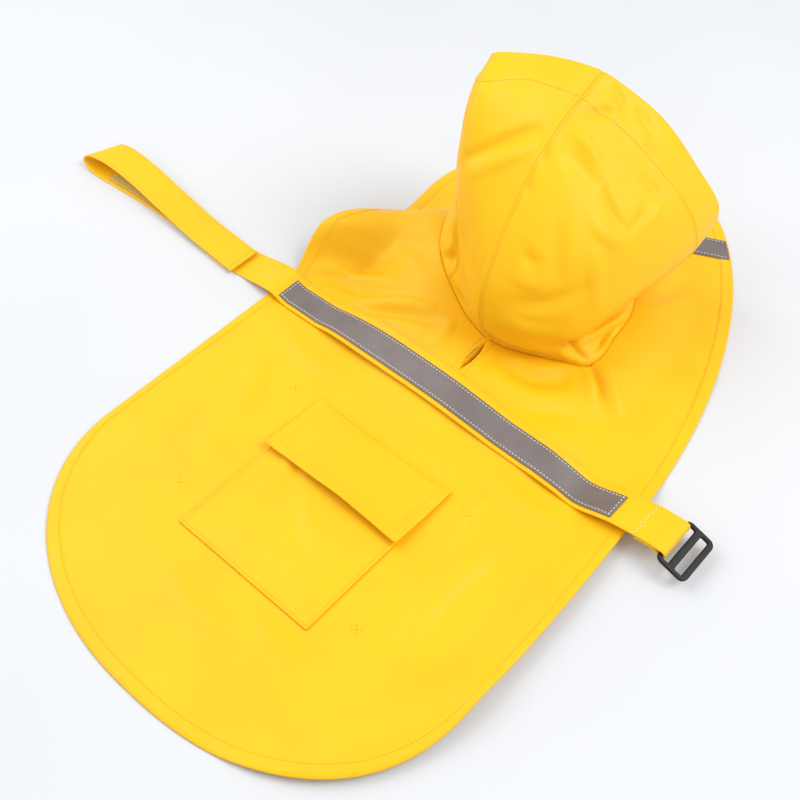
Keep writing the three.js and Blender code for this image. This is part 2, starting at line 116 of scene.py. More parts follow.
# Swells of the panel: crest from (x, y) to (x, y), height at both ends, reach left and right of it.
SWELLS = [
    ((-212, 62), (-118, 138), (38, 36), (54, 46)),
    ((207, 14), (203, -190), (8, 12), (48, 48)),
    ((203, -190), (128, -338), (12, 5), (46, 46)),
    ((-120, 12), (90, 18), (2, 8), (50, 50)),
]

# The hood, section by section from the right throat over the back to the left throat: the turn of its
# foot on the neck edge, then its skirt, low, high, crown and brim points.
HOOD = [
    (84, (14, 237, 15), (20, 239, 20), (26, 241, 24), (31, 242, 28), (36, 243, 32)),
    (55, (54, 218, 22), (66, 224, 32), (74, 235, 42), (80, 246, 52), (84, 256, 62)),
    (22, (63, 176, 27), (88, 186, 64), (94, 204, 72), (95, 232, 86), (92, 257, 98)),
    (-8, (63, 141, 27), (84, 135, 70), (83, 155, 98), (79, 202, 125), (65, 250, 134)),
    (-35, (61, 103, 28), (67, 90, 54), (55, 108, 118), (45, 168, 152), (32, 240, 170)),
    (-62, (38, 68, 38), (34, 66, 80), (24, 92, 132), (16, 150, 172), (3, 227, 192)),
    (-90, (-2, 55, 47), (-4, 55, 90), (-9, 82, 137), (-15, 140, 183), (-20, 214, 207)),
    (-122, (-36, 72, 52), (-38, 72, 100), (-42, 84, 157), (-50, 132, 202), (-56, 192, 215)),
    (-143, (-59, 92, 54), (-61, 92, 102), (-63, 92, 160), (-71, 118, 206), (-85, 160, 221)),
    (-172, (-92, 128, 76), (-90, 130, 110), (-92, 138, 158), (-98, 160, 192), (-99, 188, 188)),
    (-212, (-80, 188, 54), (-86, 196, 78), (-92, 204, 104), (-96, 210, 124), (-97, 214, 134)),
    (-264, (-14, 237, 16), (-20, 239, 25), (-27, 241, 34), (-33, 242, 42), (-38, 243, 50)),
]
SEAM_SECTION = 6
HOOD_TOP = 6
HOOD_COLLAR = 6
HOOD_INSET = 0.6
BRIM_SWELL = 8.0  # how much wider the brim hem is in the middle of the right panel

# The strap's loose end from its free end round the loop to the table: x, y, z, skew of its edges.
LOOSE_END = [
    (-241, -3, 5.2, 0), (-270, -1, 5.2, 0), (-300, 0.5, 5.8, 0), (-330, 3, 7.8, 0),
    (-360, 5.5, 10.5, 0), (-390, 8, 13.5, 1), (-420, 9, 16.5, 3), (-442, 7.5, 18, 7),
    (-456, 5, 15.5, 12), (-461, 3, 9.5, 14), (-456, 1.5, 3, 10), (-444, 1, 0.9, 5),
    (-415, 3, 0.9, 1), (-385, 5, 0.9, 0), (-350, 6, 0.9, 0), (-320, 5, 0.9, 0),
    (-289, 2, 0.9, 0), (-262, -1, 0.9, 0),
]

# Soft folds of the panel: line, half width, height. Each dies out at its ends.
PANEL_FOLDS = [
    # left shoulder, from the hem to the neck
    ([(-196, 30), (-188, 46), (-164, 64), (-130, 72), (-104, 76)], 10, -6.5),
    ([(-202, 52), (-174, 80), (-132, 92)], 8, 4.5),
    ([(-190, 32), (-160, 50), (-120, 58), (-95, 62)], 7, 4.5),
    ([(-194, 20), (-166, 35), (-122, 44), (-99, 50)], 7, -4.6),
    ([(-126, 24), (-71, 41), (-42, 50)], 8, -5.0),
    ([(-116, 36), (-74, 52), (-50, 60)], 7, 3.4),
    ([(-134, 98), (-104, 97), (-84, 88)], 14, -4.0),
    ([(-116, 150), (-122, 176), (-118, 200)], 12, -3.0),
    # under the neck seam and round its right corner
    ([(22, 57), (52, 63), (80, 88)], 13, -6.0),
    ([(16, 38), (60, 44), (98, 72)], 14, 3.0),
    ([(76, 108), (95, 99), (114, 82)], 5, -5.0),
    ([(84, 113), (104, 106), (130, 84)], 8, 5.0),
    ([(80, 99), (96, 88), (108, 74)], 8, 2.2),
    ([(69, 200), (80, 234), (92, 268)], 14, -2.5),
    ([(88, 130), (130, 122), (172, 128)], 18, 2.0),
    ([(92, 168), (140, 176), (180, 160)], 18, 1.4),
    ([(-40, 62), (-34, 44), (-36, 28)], 9, 1.6),
    # back and tail
    ([(84, -42), (74, -70), (78, -100)], 9, -2.8),
    ([(100, -40), (94, -76), (100, -112)], 8, 2.2),
    ([(60, -34), (50, -52), (44, -70)], 8, 2.0),
    ([(-92, -96), (-80, -128), (-84, -160)], 9, -2.2),
    ([(84, -150), (104, -168), (120, -196)], 9, -3.0),
    ([(40, -224), (66, -232), (92, -222)], 10, -3.0),
    ([(20, -246), (60, -252), (104, -240)], 11, 2.6),
    ([(-40, -224), (-80, -236), (-110, -226)], 12, -2.4),
    ([(-130, -70), (-110, -90), (-104, -120)], 12, -2.2),
    ([(150, -90), (140, -140), (148, -190)], 16, -3.0),
    ([(-40, -300), (10, -306), (60, -292)], 14, -2.6),
    ([(-150, -60), (-120, -120), (-112, -190)], 20, 2.4),
    ([(110, -60), (130, -130), (120, -210)], 20, 3.0),
    ([(-60, -262), (0, -276), (70, -258)], 16, 2.4),
    ([(-176, -30), (-120, -44), (-60, -40)], 14, 2.6),
    ([(80, -30), (120, -40), (178, -30)], 14, 2.8),
]

# Soft folds of the pocket. The flap over it has none of them.
POCKET_FOLDS = [
    ([(-56, -112), (-44, -146), (-50, -184)], 9, 1.8),
    ([(-36, -128), (-28, -156), (-34, -190)], 8, -1.4),
    ([(-14, -150), (12, -168), (40, -164)], 9, 1.7),
    ([(-4, -176), (24, -190), (52, -188)], 8, -1.3),
    ([(-34, -214), (-8, -200), (20, -212)], 8, 1.3),
]

# Soft folds of the hood, as (section, level) points with levels from 0 at the neck to 6 at the brim.
HOOD_FOLDS = [
    # left panel: its long soft valley, and the sharp fold with the strip that turns away behind it
    ([(6.1, 5.15), (6.5, 4.85), (7.4, 4.3), (7.9, 4.1)], 8, -4.5),
    ([(6.1, 4.9), (6.6, 4.5), (7.4, 4.0)], 8, 2.8),
    ([(7.3, 3.4), (6.8, 3.0), (6.3, 2.9)], 14, -2.2),
    ([(7.93, 5.2), (7.93, 2.8), (7.83, 1.8), (7.63, 0.9), (7.43, 0.1)], 4, 6.0),
    ([(8.33, 4.6), (8.33, 2.8), (8.22, 1.8), (8.02, 0.9), (7.82, 0.3)], 9, -19.0),
    ([(9.0, 1.0), (9.1, 2.2), (9.1, 3.4)], 11, 3.0),
    ([(9.7, 1.2), (9.8, 2.6), (9.9, 3.8)], 12, -2.2),
    ([(7.1, 1.1), (6.5, 1.4), (6.0, 1.5)], 8, -2.6),
    # along the brim of the right panel
    ([(5.8, 5.45), (5.33, 5.58), (4.95, 5.68)], 6, -3.0),
    ([(5.5, 5.93), (5.1, 5.86), (4.75, 5.76)], 6, -3.8),
    ([(5.6, 5.75), (5.2, 5.72), (4.9, 5.66)], 5, 3.0),
    ([(4.75, 5.9), (4.33, 5.82), (3.9, 5.74)], 8, -3.6),
    ([(4.5, 5.7), (4.2, 5.66), (3.9, 5.6)], 6, 3.0),
    ([(5.7, 5.25), (5.2, 5.2), (4.7, 5.1)], 7, 3.2),
    ([(5.98, 5.0), (5.85, 4.85), (5.7, 4.75)], 6, -2.0),
    ([(5.98, 4.6), (5.85, 4.5), (5.7, 4.4)], 6, -2.0),
    # across the right panel
    ([(5.6, 5.02), (5.03, 4.95), (4.4, 4.8)], 13, -4.2),
    ([(4.45, 4.9), (3.88, 4.65), (3.55, 4.48)], 5, -3.4),
    ([(4.3, 4.55), (3.9, 4.4), (3.5, 4.28)], 9, 3.2),
    ([(3.53, 4.5), (3.5, 4.7), (3.55, 4.9)], 6, -2.2),
    ([(3.3, 4.6), (3.3, 4.9), (3.35, 5.15)], 7, 2.6),
    ([(3.9, 5.3), (3.43, 5.1), (3.1, 4.9)], 9, -3.4),
    ([(3.95, 4.3), (3.75, 3.9), (3.6, 3.3)], 11, 2.6),
    ([(4.85, 4.4), (4.65, 4.0), (4.45, 3.6)], 11, -3.0),
    ([(5.35, 3.85), (5.15, 3.72), (4.85, 3.75)], 9, -2.6),
    ([(5.4, 3.5), (5.1, 3.42), (4.6, 3.6)], 9, 1.8),
    ([(5.4, 3.0), (4.58, 3.35), (3.7, 3.8)], 11, -3.0),
    ([(5.6, 2.6), (5.0, 2.6), (4.3, 2.9)], 12, 2.2),
    ([(5.4, 1.1), (5.1, 1.3), (4.8, 1.4)], 8, -2.4),
    # the tuck at the right corner of the neck, and the throat
    ([(4.05, 2.7), (3.95, 1.9), (3.84, 1.2), (3.76, 0.2)], 5, -5.0),
    ([(4.35, 1.9), (4.2, 1.2), (4.1, 0.6)], 6, 4.0),
    ([(3.8, 1.9), (3.33, 1.75), (2.62, 1.45), (2.1, 1.2)], 6, 5.5),
    ([(3.55, 1.25), (3.1, 1.25), (2.5, 1.05)], 4.5, -5.0),
    ([(3.55, 0.6), (3.1, 0.75), (2.6, 0.65)], 5, 3.5),
    ([(1.2, 1.5), (1.6, 2.8), (1.9, 4.0)], 12, -2.0),
]

# ---------------------------------------------------------------- small sums


def smooth(value, start, end):
    t = np.clip((value - start) / (end - start), 0, 1)
    return t * t * (3 - 2 * t)


def bell(q):
    """1 at 0 and exactly 0 from 1 on."""
    return np.maximum(0, 1 - q * q) ** 2


def around(column, turn):
    """A smooth value round the neck from one column of its table."""
    count = len(NECK)
    wrapped = NECK[0, 0] + np.mod(turn - NECK[0, 0], 360)
    turns = np.concatenate([NECK[-1:, 0] - 360, NECK[:, 0], NECK[:2, 0] + 360])
    values = np.concatenate([NECK[-1:, column], NECK[:, column], NECK[:2, column]])
    index = np.clip(np.searchsorted(turns, wrapped, side="right") - 1, 1, count)
    span = turns[index + 1] - turns[index]
    t = (wrapped - turns[index]) / span
    slope_start = (values[index + 1] - values[index - 1]) / (turns[index + 1] - turns[index - 1]) * span
    slope_end = (values[index + 2] - values[index]) / (turns[index + 2] - turns[index]) * span
    return (
        values[index] * (2 * t**3 - 3 * t**2 + 1)
        + slope_start * (t**3 - 2 * t**2 + t)
        + values[index + 1] * (3 * t**2 - 2 * t**3)
        + slope_end * (t**3 - t**2)
    )


def spline(points, t):
    """A centripetal curve through points, which may hold a whole row of curves, at t from 0 to 1."""
    points = np.asarray(points, float)
    last = len(points) - 1
    ends = np.concatenate([[2 * points[0] - points[1]], points, [2 * points[-1] - points[-2]]])
    place = np.asarray(t, float) * last
    index = np.clip(np.floor(place).astype(int), 0, last - 1)
    w = (place - index).reshape((-1,) + (1,) * (points.ndim - 1))
    p0, p1, p2, p3 = (ends[index + k] for k in range(4))

    def knot(a, b):
        return np.sqrt(np.linalg.norm(b - a, axis=-1, keepdims=True))

    d1 = knot(p1, p2)
    d1 = np.where(d1 < 1e-4, 1, d1)
    d0, d2 = (np.where(d < 1e-4, d1, d) for d in (knot(p0, p1), knot(p2, p3)))
    start = ((p1 - p0) / d0 - (p2 - p0) / (d0 + d1) + (p2 - p1) / d1) * d1
    end = ((p2 - p1) / d1 - (p3 - p1) / (d1 + d2) + (p3 - p2) / d2) * d1
    return (
        p1 + start * w
        + (-3 * p1 + 3 * p2 - 2 * start - end) * w**2
        + (2 * p1 - 2 * p2 + start + end) * w**3
    )


def away_from(points, line):
    """How far each point is from a broken line, and how far along it the nearest place is, 0 to 1."""
    line = np.asarray(line, float)
    steps = np.diff(line, axis=0)
    lengths = np.linalg.norm(steps, axis=1)
    before = np.concatenate([[0], np.cumsum(lengths)])
    best = np.full(points.shape[:-1], np.inf)
    along = np.zeros(points.shape[:-1])
    for k, (step, length) in enumerate(zip(steps, lengths)):
        t = np.clip(((points - line[k]) @ step) / length**2, 0, 1)
        gap = np.linalg.norm(points - line[k] - t[..., None] * step, axis=-1)
        near = gap < best
        best = np.where(near, gap, best)
        along = np.where(near, (before[k] + t * length) / before[-1], along)
    return best, along


def folds_at(points, folds):
    """Sum of the soft folds at each point. Each is highest halfway along its line."""
    total = np.zeros(points.shape[:-1])
    for line, width, height in folds:
        curve = spline(line, np.linspace(0, 1, 13))
        gap, along = away_from(points, curve)
        total += height * bell(gap / width) * np.sin(np.pi * np.clip(along, 0.04, 0.96)) ** 0.8
    return total


# ---------------------------------------------------------------- the panel's shape


def hem_shift(x, y):
    side = smooth(np.abs(x), 0, BACK_WIDTH / 3)
    left = 6 * bell((y - 60) / 60) + 38 * smooth(y, 130, 250)
    right = 7 * bell((y + 140) / 210)
    return np.where(x < 0, -left, right) * side


def inside_hem(x, y):
    across = np.abs(x - hem_shift(x, y)) / (BACK_WIDTH / 2)
    chest = across**CHEST_POWER + (np.maximum(y, 0) / CHEST_REACH) ** CHEST_POWER
    past = np.maximum(0, -y - STRAIGHT_SIDE) / TAIL_REACH
    power = np.where(x < 0, TAIL_POWER_LEFT, TAIL_POWER_RIGHT)
    return np.where(y > 0, chest, across**power + past**power) < 1


def hem_radius(turn):
    """How far the hem is from the neck's centre in each direction."""
    near = np.zeros_like(turn)
    far = np.full_like(turn, 800.0)
    cos, sin = np.cos(np.radians(turn)), np.sin(np.radians(turn))
    for _ in range(18):
        middle = (near + far) / 2
        inside = inside_hem(middle * cos, NECK_Y + middle * sin)
        near = np.where(inside, middle, near)
        far = np.where(inside, far, middle)
    return near


TURNS = np.linspace(-90, 270, 1441)
HEM = hem_radius(TURNS)


def polar(x, y):
    turn = np.degrees(np.arctan2(y - NECK_Y, x))
    return turn, np.hypot(x, y - NECK_Y)


def hem_at(turn):
    return np.interp(-90 + np.mod(turn + 90, 360), TURNS, HEM)


def swell_height(swell, x, y):
    (x0, y0), (x1, y1), heights, reach = swell
    ax, ay = x1 - x0, y1 - y0
    bx, by = x - x0, y - y0
    t = np.clip((bx * ax + by * ay) / (ax * ax + ay * ay), 0, 1)
    side = np.where(ax * by - ay * bx > 0, reach[0], reach[1])
    away = np.hypot(bx - t * ax, by - t * ay)
    return (heights[0] + (heights[1] - heights[0]) * t) * bell(away / side)


def panel_height(x, y):
    """Height of the panel's underside over the table, before its small folds."""
    turn, radius = polar(x, y)
    out = np.maximum(0, radius - around(1, turn))
    parts = [around(2, turn) * bell(out / around(3, turn))]
    parts += [swell_height(swell, x, y) for swell in SWELLS]
    return sum(part**4 for part in parts) ** 0.25


def resting_height(x, y):
    """Height at which a stiffer piece rests on the panel: it bridges the small hollows."""
    x, y = np.asarray(x, float), np.asarray(y, float)
    steps = (-BRIDGE, 0, BRIDGE)
    return np.max([panel_height(x + dx, y + dy) for dx in steps for dy in steps], axis=0) + CLOTH + GAP


def hem_relief(x, y, width):
    """The turned hem stands a cloth's thickness proud, and puckers along its stitches."""
    turn, radius = polar(x, y)
    inside = hem_at(turn) - radius
    step = 0.7 * (1 - smooth(inside, width - 1.5, width + 2.0))
    along = np.radians(turn) * radius
    pucker = 0.35 * np.sin(along / 5.2) * np.sin(along / 13.7 + 1.1) * bell((inside - width) / 9)
    return step + pucker


def panel_relief(x, y, hem_width):
    """Small folds and the hem over the panel's own height. They never go under the table."""
    place = np.stack([x, y], -1)
    wave = 0.5 * np.sin(x / 61 + y / 83 + 0.4) * np.sin(x / 97 - y / 58) + 0.5
    covered = np.maximum.reduce([
        bell((y - STRAP_Y) / 34) * smooth(230 - np.abs(x), 0, 20),
        smooth(95 - np.abs(x), 0, 14) * smooth(y - POCKET_BOTTOM + 22, 0, 14) * smooth(-50 - y, 0, 14),
    ])
    loose = (folds_at(place, PANEL_FOLDS) + wave) * (1 - covered)
    low = panel_height(x, y)
    return np.maximum(loose, -0.8 * low) + hem_relief(x, y, hem_width)


def panel_top(x, y, hem_width):
    x, y = np.asarray(x, float), np.asarray(y, float)
    return panel_height(x, y) + panel_relief(x, y, hem_width) + CLOTH


# ---------------------------------------------------------------- making meshes


def to_row(points):
    return (np.asarray(points, float).reshape(-1, 3) + (0, STRAP_FROM_ORIGIN, 0)) * MM


def new_object(name, points, faces, material, edges=()):
    mesh = bpy.data.meshes.new(name)
    mesh.from_pydata(to_row(points).tolist(), [list(e) for e in edges], [list(f) for f in faces])
    mesh.validate()
    if len(mesh.polygons):
        mesh.polygons.foreach_set("use_smooth", np.ones(len(mesh.polygons), bool))
    if material:
        mesh.materials.append(material)
    mesh.update()
    piece = bpy.data.objects.new(name, mesh)
    bpy.context.scene.collection.objects.link(piece)
    return piece


def grid_faces(rows, columns):
    corner = (np.arange(rows - 1)[:, None] * columns + np.arange(columns - 1)).ravel()
    return np.stack([corner, corner + columns, corner + columns + 1, corner + 1], -1)


def normals_of(points, faces):
    diagonal = np.cross(points[faces[:, 2]] - points[faces[:, 0]], points[faces[:, 3]] - points[faces[:, 1]])
    total = np.zeros_like(points)
    for k in range(4):
        np.add.at(total, faces[:, k], diagonal)
    length = np.linalg.norm(total, axis=1, keepdims=True)
    return total / np.where(length > 0, length, 1)


def without_repeats(faces):
    """Faces with their repeated corners dropped, as where a slit closes, and empty ones left out."""
    kept = [[v for k, v in enumerate(face) if v != face[k - 1]] for face in faces.tolist()]
    return [face for face in kept if len(set(face)) > 2]


def cloth_shell(name, grid, thickness, material, relief=None):
    """A thin shell of cloth on a grid of points on its under or inner side, with rounded edges.
    Its face looks along (step to the next row) x (step along the row). Relief lifts the face only."""
    rows, columns = grid.shape[:2]
    flat = np.round(grid.reshape(-1, 3), 4)
    points, weld = np.unique(flat, axis=0, return_inverse=True)
    weld = weld.reshape(-1)
    faces = weld[grid_faces(rows, columns)]
    normal = normals_of(points, faces)
    height = np.full(len(points), float(thickness))
    if relief is not None:
        lift = np.zeros(len(points))
        lift[weld] = np.asarray(relief, float).reshape(-1)
        height = height + lift
    top = points + normal * height[:, None]
    count = len(points)
    edges = {}
    for face in faces:
        for a, b in zip(face, np.roll(face, -1)):
            edges[(int(a), int(b))] = True
    rim = [(a, b) for a, b in edges if (b, a) not in edges]
    outward = np.zeros_like(points)
    for a, b in rim:
        out = np.cross(points[b] - points[a], normal[a] + normal[b])
        out = out / max(np.linalg.norm(out), 1e-9)
        outward[a] += out
        outward[b] += out
    on_rim = sorted({v for edge in rim for v in edge})
    middle = {v: 2 * count + k for k, v in enumerate(on_rim)}
    swell = []
    for v in on_rim:
        out = outward[v] / max(np.linalg.norm(outward[v]), 1e-9)
        swell.append((points[v] + top[v]) / 2 + out * min(height[v], 2) * 0.42)
    walls = []
    for a, b in rim:
        walls.append((a, b, middle[b], middle[a]))
        walls.append((b + count, a + count, middle[a], middle[b]))
    every = np.concatenate([points, top, np.array(swell)])
    under, face = without_repeats(faces[:, ::-1]), without_repeats(faces + count)
    return new_object(name, every, [*under, *face, *walls], material)


def band(name, path, width, thickness, material, skew=None, tilt=0.0, across=13, edge_roll=0.0):
    """A closed strip of webbing or tape along a path of points, level across Y."""
    path = np.asarray(path, float)
    count = len(path)
    width = np.broadcast_to(np.asarray(width, float), (count,))
    skew = np.zeros(count) if skew is None else np.asarray(skew, float)
    along = np.gradient(path, axis=0)
    side = np.stack([skew, width, np.zeros(count) + tilt], -1)
    up = np.cross(along, side)
    up = up / np.linalg.norm(up, axis=1, keepdims=True)
    share = np.sin(np.linspace(-math.pi / 2, math.pi / 2, across))
    edge = thickness / width.mean()
    past_edge = np.maximum(0, (np.abs(share) - (1 - edge)) / edge)
    round_off = np.sqrt(np.maximum(0, 1 - past_edge**2))
    face = np.concatenate([share, share[::-1][1:-1]])
    lift = np.concatenate([round_off, -round_off[::-1][1:-1]])
    roll = np.concatenate([bell((np.abs(share) - 0.93) / 0.1), np.zeros(across - 2)]) * edge_roll
    ring = len(face)
    points = (
        path[:, None, :]
        + side[:, None, :] * face[None, :, None] / 2
        + up[:, None, :] * (lift * thickness / 2 + roll)[None, :, None]
    ).reshape(-1, 3)
    faces = []
    for k in range(count - 1):
        for j in range(ring):
            a, b = k * ring + j, k * ring + (j + 1) % ring
            faces.append((a, b, b + ring, a + ring))
    faces.append(tuple(range(ring))[::-1])
    faces.append(tuple(range((count - 1) * ring, count * ring)))
    piece = new_object(name, points, faces, material)
    face_outwards(piece)
    return piece


def face_outwards(piece):
    mesh = bmesh.new()
    mesh.from_mesh(piece.data)
    bmesh.ops.recalc_face_normals(mesh, faces=mesh.faces)
    mesh.to_mesh(piece.data)
    mesh.free()


def even_line(points, step):
    """The same line with points at even steps."""
    points = np.asarray(points, float)
    lengths = np.concatenate([[0], np.cumsum(np.linalg.norm(np.diff(points, axis=0), axis=1))])
    count = max(2, int(round(lengths[-1] / step)) + 1)
    places = np.linspace(0, lengths[-1], count)
    return np.stack([np.interp(places, lengths, points[:, k]) for k in range(points.shape[1])], -1)


# ---------------------------------------------------------------- materials


def paint(hex_colour):
    """A colour from its sRGB hex, as linear values."""
    values = [int(hex_colour[k:k + 2], 16) / 255 for k in (1, 3, 5)]
    return [v / 12.92 if v <= 0.04045 else ((v + 0.055) / 1.055) ** 2.4 for v in values] + [1.0]


def tinted(colour, *shares):
    """A setting's colour with each of its channels multiplied, and full alpha."""
    shares = shares * 3 if len(shares) == 1 else shares or (1, 1, 1)
    return [min(1.0, channel * share) for channel, share in zip(colour, shares)] + [1.0]


def add_node(tree, kind, inputs=(), stops=(), **settings):
    """Adds a node with its settings. An input given as a socket is linked, and any other is set."""
    node = tree.nodes.new(kind)
    for name, value in settings.items():
        setattr(node, name, value)
    for name, value in dict(inputs).items():
        if isinstance(value, bpy.types.NodeSocket):
            tree.links.new(value, node.inputs[name])
        else:
            node.inputs[name].default_value = value
    for index, (place, colour) in enumerate(stops):
        node.color_ramp.elements[index].position = place
        node.color_ramp.elements[index].color = colour
    return node


def material_of(name, make, *args):
    """The material of that name, made once: make adds its patterns and returns the shader's inputs."""
    material = bpy.data.materials.get(name)
    if material is None:
        material = bpy.data.materials.new(name)
        material.use_nodes = True
        tree = material.node_tree
        tree.nodes.clear()
        place = add_node(tree, "ShaderNodeTexCoord").outputs["Object"]
        shader = add_node(tree, "ShaderNodeBsdfPrincipled", make(tree, place, *args))
        add_node(tree, "ShaderNodeOutputMaterial", {"Surface": shader.outputs[0]})
    return material


def coated_cloth(tree, place, colour):
    """Woven polyester with a polyurethane coat rolled on: one bright even colour, a satin face with
    a wide soft highlight, and slight handling marks. Its weave, 0.9 mm here, is drawn coarser than
    the real one so that it shows."""
    noise = "ShaderNodeTexNoise"
    patches = add_node(tree, noise, {"Vector": place, "Scale": 1 / (90 * MM), "Detail": 4.0}).outputs["Fac"]
    marks = {"Vector": place, "Scale": 1 / (16 * MM), "Detail": 5.0, "Roughness": 0.6}
    marks = add_node(tree, noise, marks).outputs["Fac"]
    weave = add_node(tree, noise, {"Vector": place, "Scale": 1 / (0.9 * MM), "Detail": 1.0}).outputs["Fac"]
    stops = [(0.3, tinted(colour, 0.96, 0.92, 0.8)), (0.7, tinted(colour))]
    base = add_node(tree, "ShaderNodeValToRGB", {"Fac": patches}, stops)
    rough = add_node(tree, "ShaderNodeMapRange", {"Value": marks, "To Min": 0.42, "To Max": 0.58})
    handled = add_node(tree, "ShaderNodeBump", {"Height": marks, "Strength": 0.25, "Distance": 0.5 * MM})
    grain = {"Height": weave, "Strength": 0.18, "Distance": 0.08 * MM, "Normal": handled.outputs[0]}
    return {
        "Base Color": base.outputs["Color"], "Roughness": rough.outputs[0],
        "Normal": add_node(tree, "ShaderNodeBump", grain).outputs[0],
        "Specular IOR Level": 0.3, "Sheen Weight": 0.03,
    }


def bead_tape(tree, place, colour):
    """Glass beads pressed into a woven tape: a warm mid grey, slightly metallic where it throws
    light back, cloudy, and grained by beads drawn at 0.6 mm, far above their real size."""
    noise = "ShaderNodeTexNoise"
    clouds = add_node(tree, noise, {"Vector": place, "Scale": 1 / (24 * MM), "Detail": 4.0}).outputs["Fac"]
    grains = add_node(tree, noise, {"Vector": place, "Scale": 1 / (0.8 * MM), "Detail": 1.0}).outputs["Fac"]
    beads = {"Vector": place, "Scale": 1 / (0.6 * MM)}
    beads = add_node(tree, "ShaderNodeTexVoronoi", beads).outputs["Distance"]
    both = add_node(tree, "ShaderNodeMath", {0: clouds, 1: grains}, operation="MULTIPLY")
    stops = [(0.12, tinted(colour, 0.9)), (0.4, tinted(colour, 1.15))]
    base = add_node(tree, "ShaderNodeValToRGB", {"Fac": both.outputs[0]}, stops)
    rough = add_node(tree, "ShaderNodeMapRange", {"Value": grains, "To Min": 0.42, "To Max": 0.6})
    proud = add_node(tree, "ShaderNodeBump", {"Height": beads, "Strength": 0.3, "Distance": 0.06 * MM})
    return {
        "Base Color": base.outputs["Color"], "Roughness": rough.outputs[0],
        "Normal": proud.outputs[0], "Metallic": 0.25,
    }


def napped_tape(tree, place, colour):
    """Nylon hook and loop tape, woven and napped: a dull straw pile, uneven at about 1 mm."""
    pile = {"Vector": place, "Scale": 1 / (1.1 * MM), "Detail": 4.0, "Roughness": 0.7}
    pile = add_node(tree, "ShaderNodeTexNoise", pile).outputs["Fac"]
    stops = [(0.3, tinted(colour, 0.7)), (0.7, tinted(colour))]
    base = add_node(tree, "ShaderNodeValToRGB", {"Fac": pile}, stops)
    rough = add_node(tree, "ShaderNodeMapRange", {"Value": pile, "To Min": 0.85, "To Max": 1.0})
    raised = add_node(tree, "ShaderNodeBump", {"Height": pile, "Strength": 0.8, "Distance": 0.5 * MM})
    return {
        "Base Color": base.outputs["Color"], "Roughness": rough.outputs[0], "Normal": raised.outputs[0],
        "Sheen Weight": 0.4, "Specular IOR Level": 0.2,
    }


def moulded_acetal(tree, place, colour):
    """Acetal, injection moulded: charcoal black and satin, with the mould's fine texture at 0.7 mm."""
    noise = "ShaderNodeTexNoise"
    wear = add_node(tree, noise, {"Vector": place, "Scale": 1 / (9 * MM), "Detail": 5.0}).outputs["Fac"]
    skin = add_node(tree, noise, {"Vector": place, "Scale": 1 / (0.7 * MM), "Detail": 2.0}).outputs["Fac"]
    stops = [(0.35, tinted(colour)), (0.8, tinted(colour, 1.7))]
    base = add_node(tree, "ShaderNodeValToRGB", {"Fac": wear}, stops)
    rough = add_node(tree, "ShaderNodeMapRange", {"Value": skin, "To Min": 0.4, "To Max": 0.55})
    texture = add_node(tree, "ShaderNodeBump", {"Height": skin, "Strength": 0.2, "Distance": 0.05 * MM})
    return {"Base Color": base.outputs["Color"], "Roughness": rough.outputs[0], "Normal": texture.outputs[0],
            "Specular IOR Level": 0.3}


def spun_thread(tree, place, colour):
    """Polyester thread, spun and plied: bands about 0.35 mm apart, with a low sheen."""
    plies = {"Vector": place, "Scale": 1 / (0.35 * MM), "Detail": 1.0}
    plies = add_node(tree, "ShaderNodeTexNoise", plies).outputs["Fac"]
    stops = [(0.3, tinted(colour, 0.8)), (0.7, tinted(colour))]
    base = add_node(tree, "ShaderNodeValToRGB", {"Fac": plies}, stops)
    rough = add_node(tree, "ShaderNodeMapRange", {"Value": plies, "To Min": 0.6, "To Max": 0.8})
    twist = add_node(tree, "ShaderNodeBump", {"Height": plies, "Strength": 0.5, "Distance": 0.1 * MM})
    return {
        "Base Color": base.outputs["Color"], "Roughness": rough.outputs[0], "Normal": twist.outputs[0],
        "Sheen Weight": 0.3,
    }


def matt_table(tree, place):
    """Laminate table top, sprayed matt: a pale grey with a faint fine mottle and no clear reflection."""
    mottle = {"Vector": place, "Scale": 1 / (400 * MM), "Detail": 2.0}
    mottle = add_node(tree, "ShaderNodeTexNoise", mottle).outputs["Fac"]
    stops = [(0.3, paint("#ced0d3")), (0.7, paint("#d3d5d7"))]
    base = add_node(tree, "ShaderNodeValToRGB", {"Fac": mottle}, stops)
    rough = add_node(tree, "ShaderNodeMapRange", {"Value": mottle, "To Min": 0.7, "To Max": 0.8})
    return {"Base Color": base.outputs["Color"], "Roughness": rough.outputs[0], "Specular IOR Level": 0.2}


def cloth():
    colours = bpy.context.scene.raincoat_colours
    return material_of("polyurethane coated polyester", coated_cloth, colours.cloth)


# ---------------------------------------------------------------- stitches


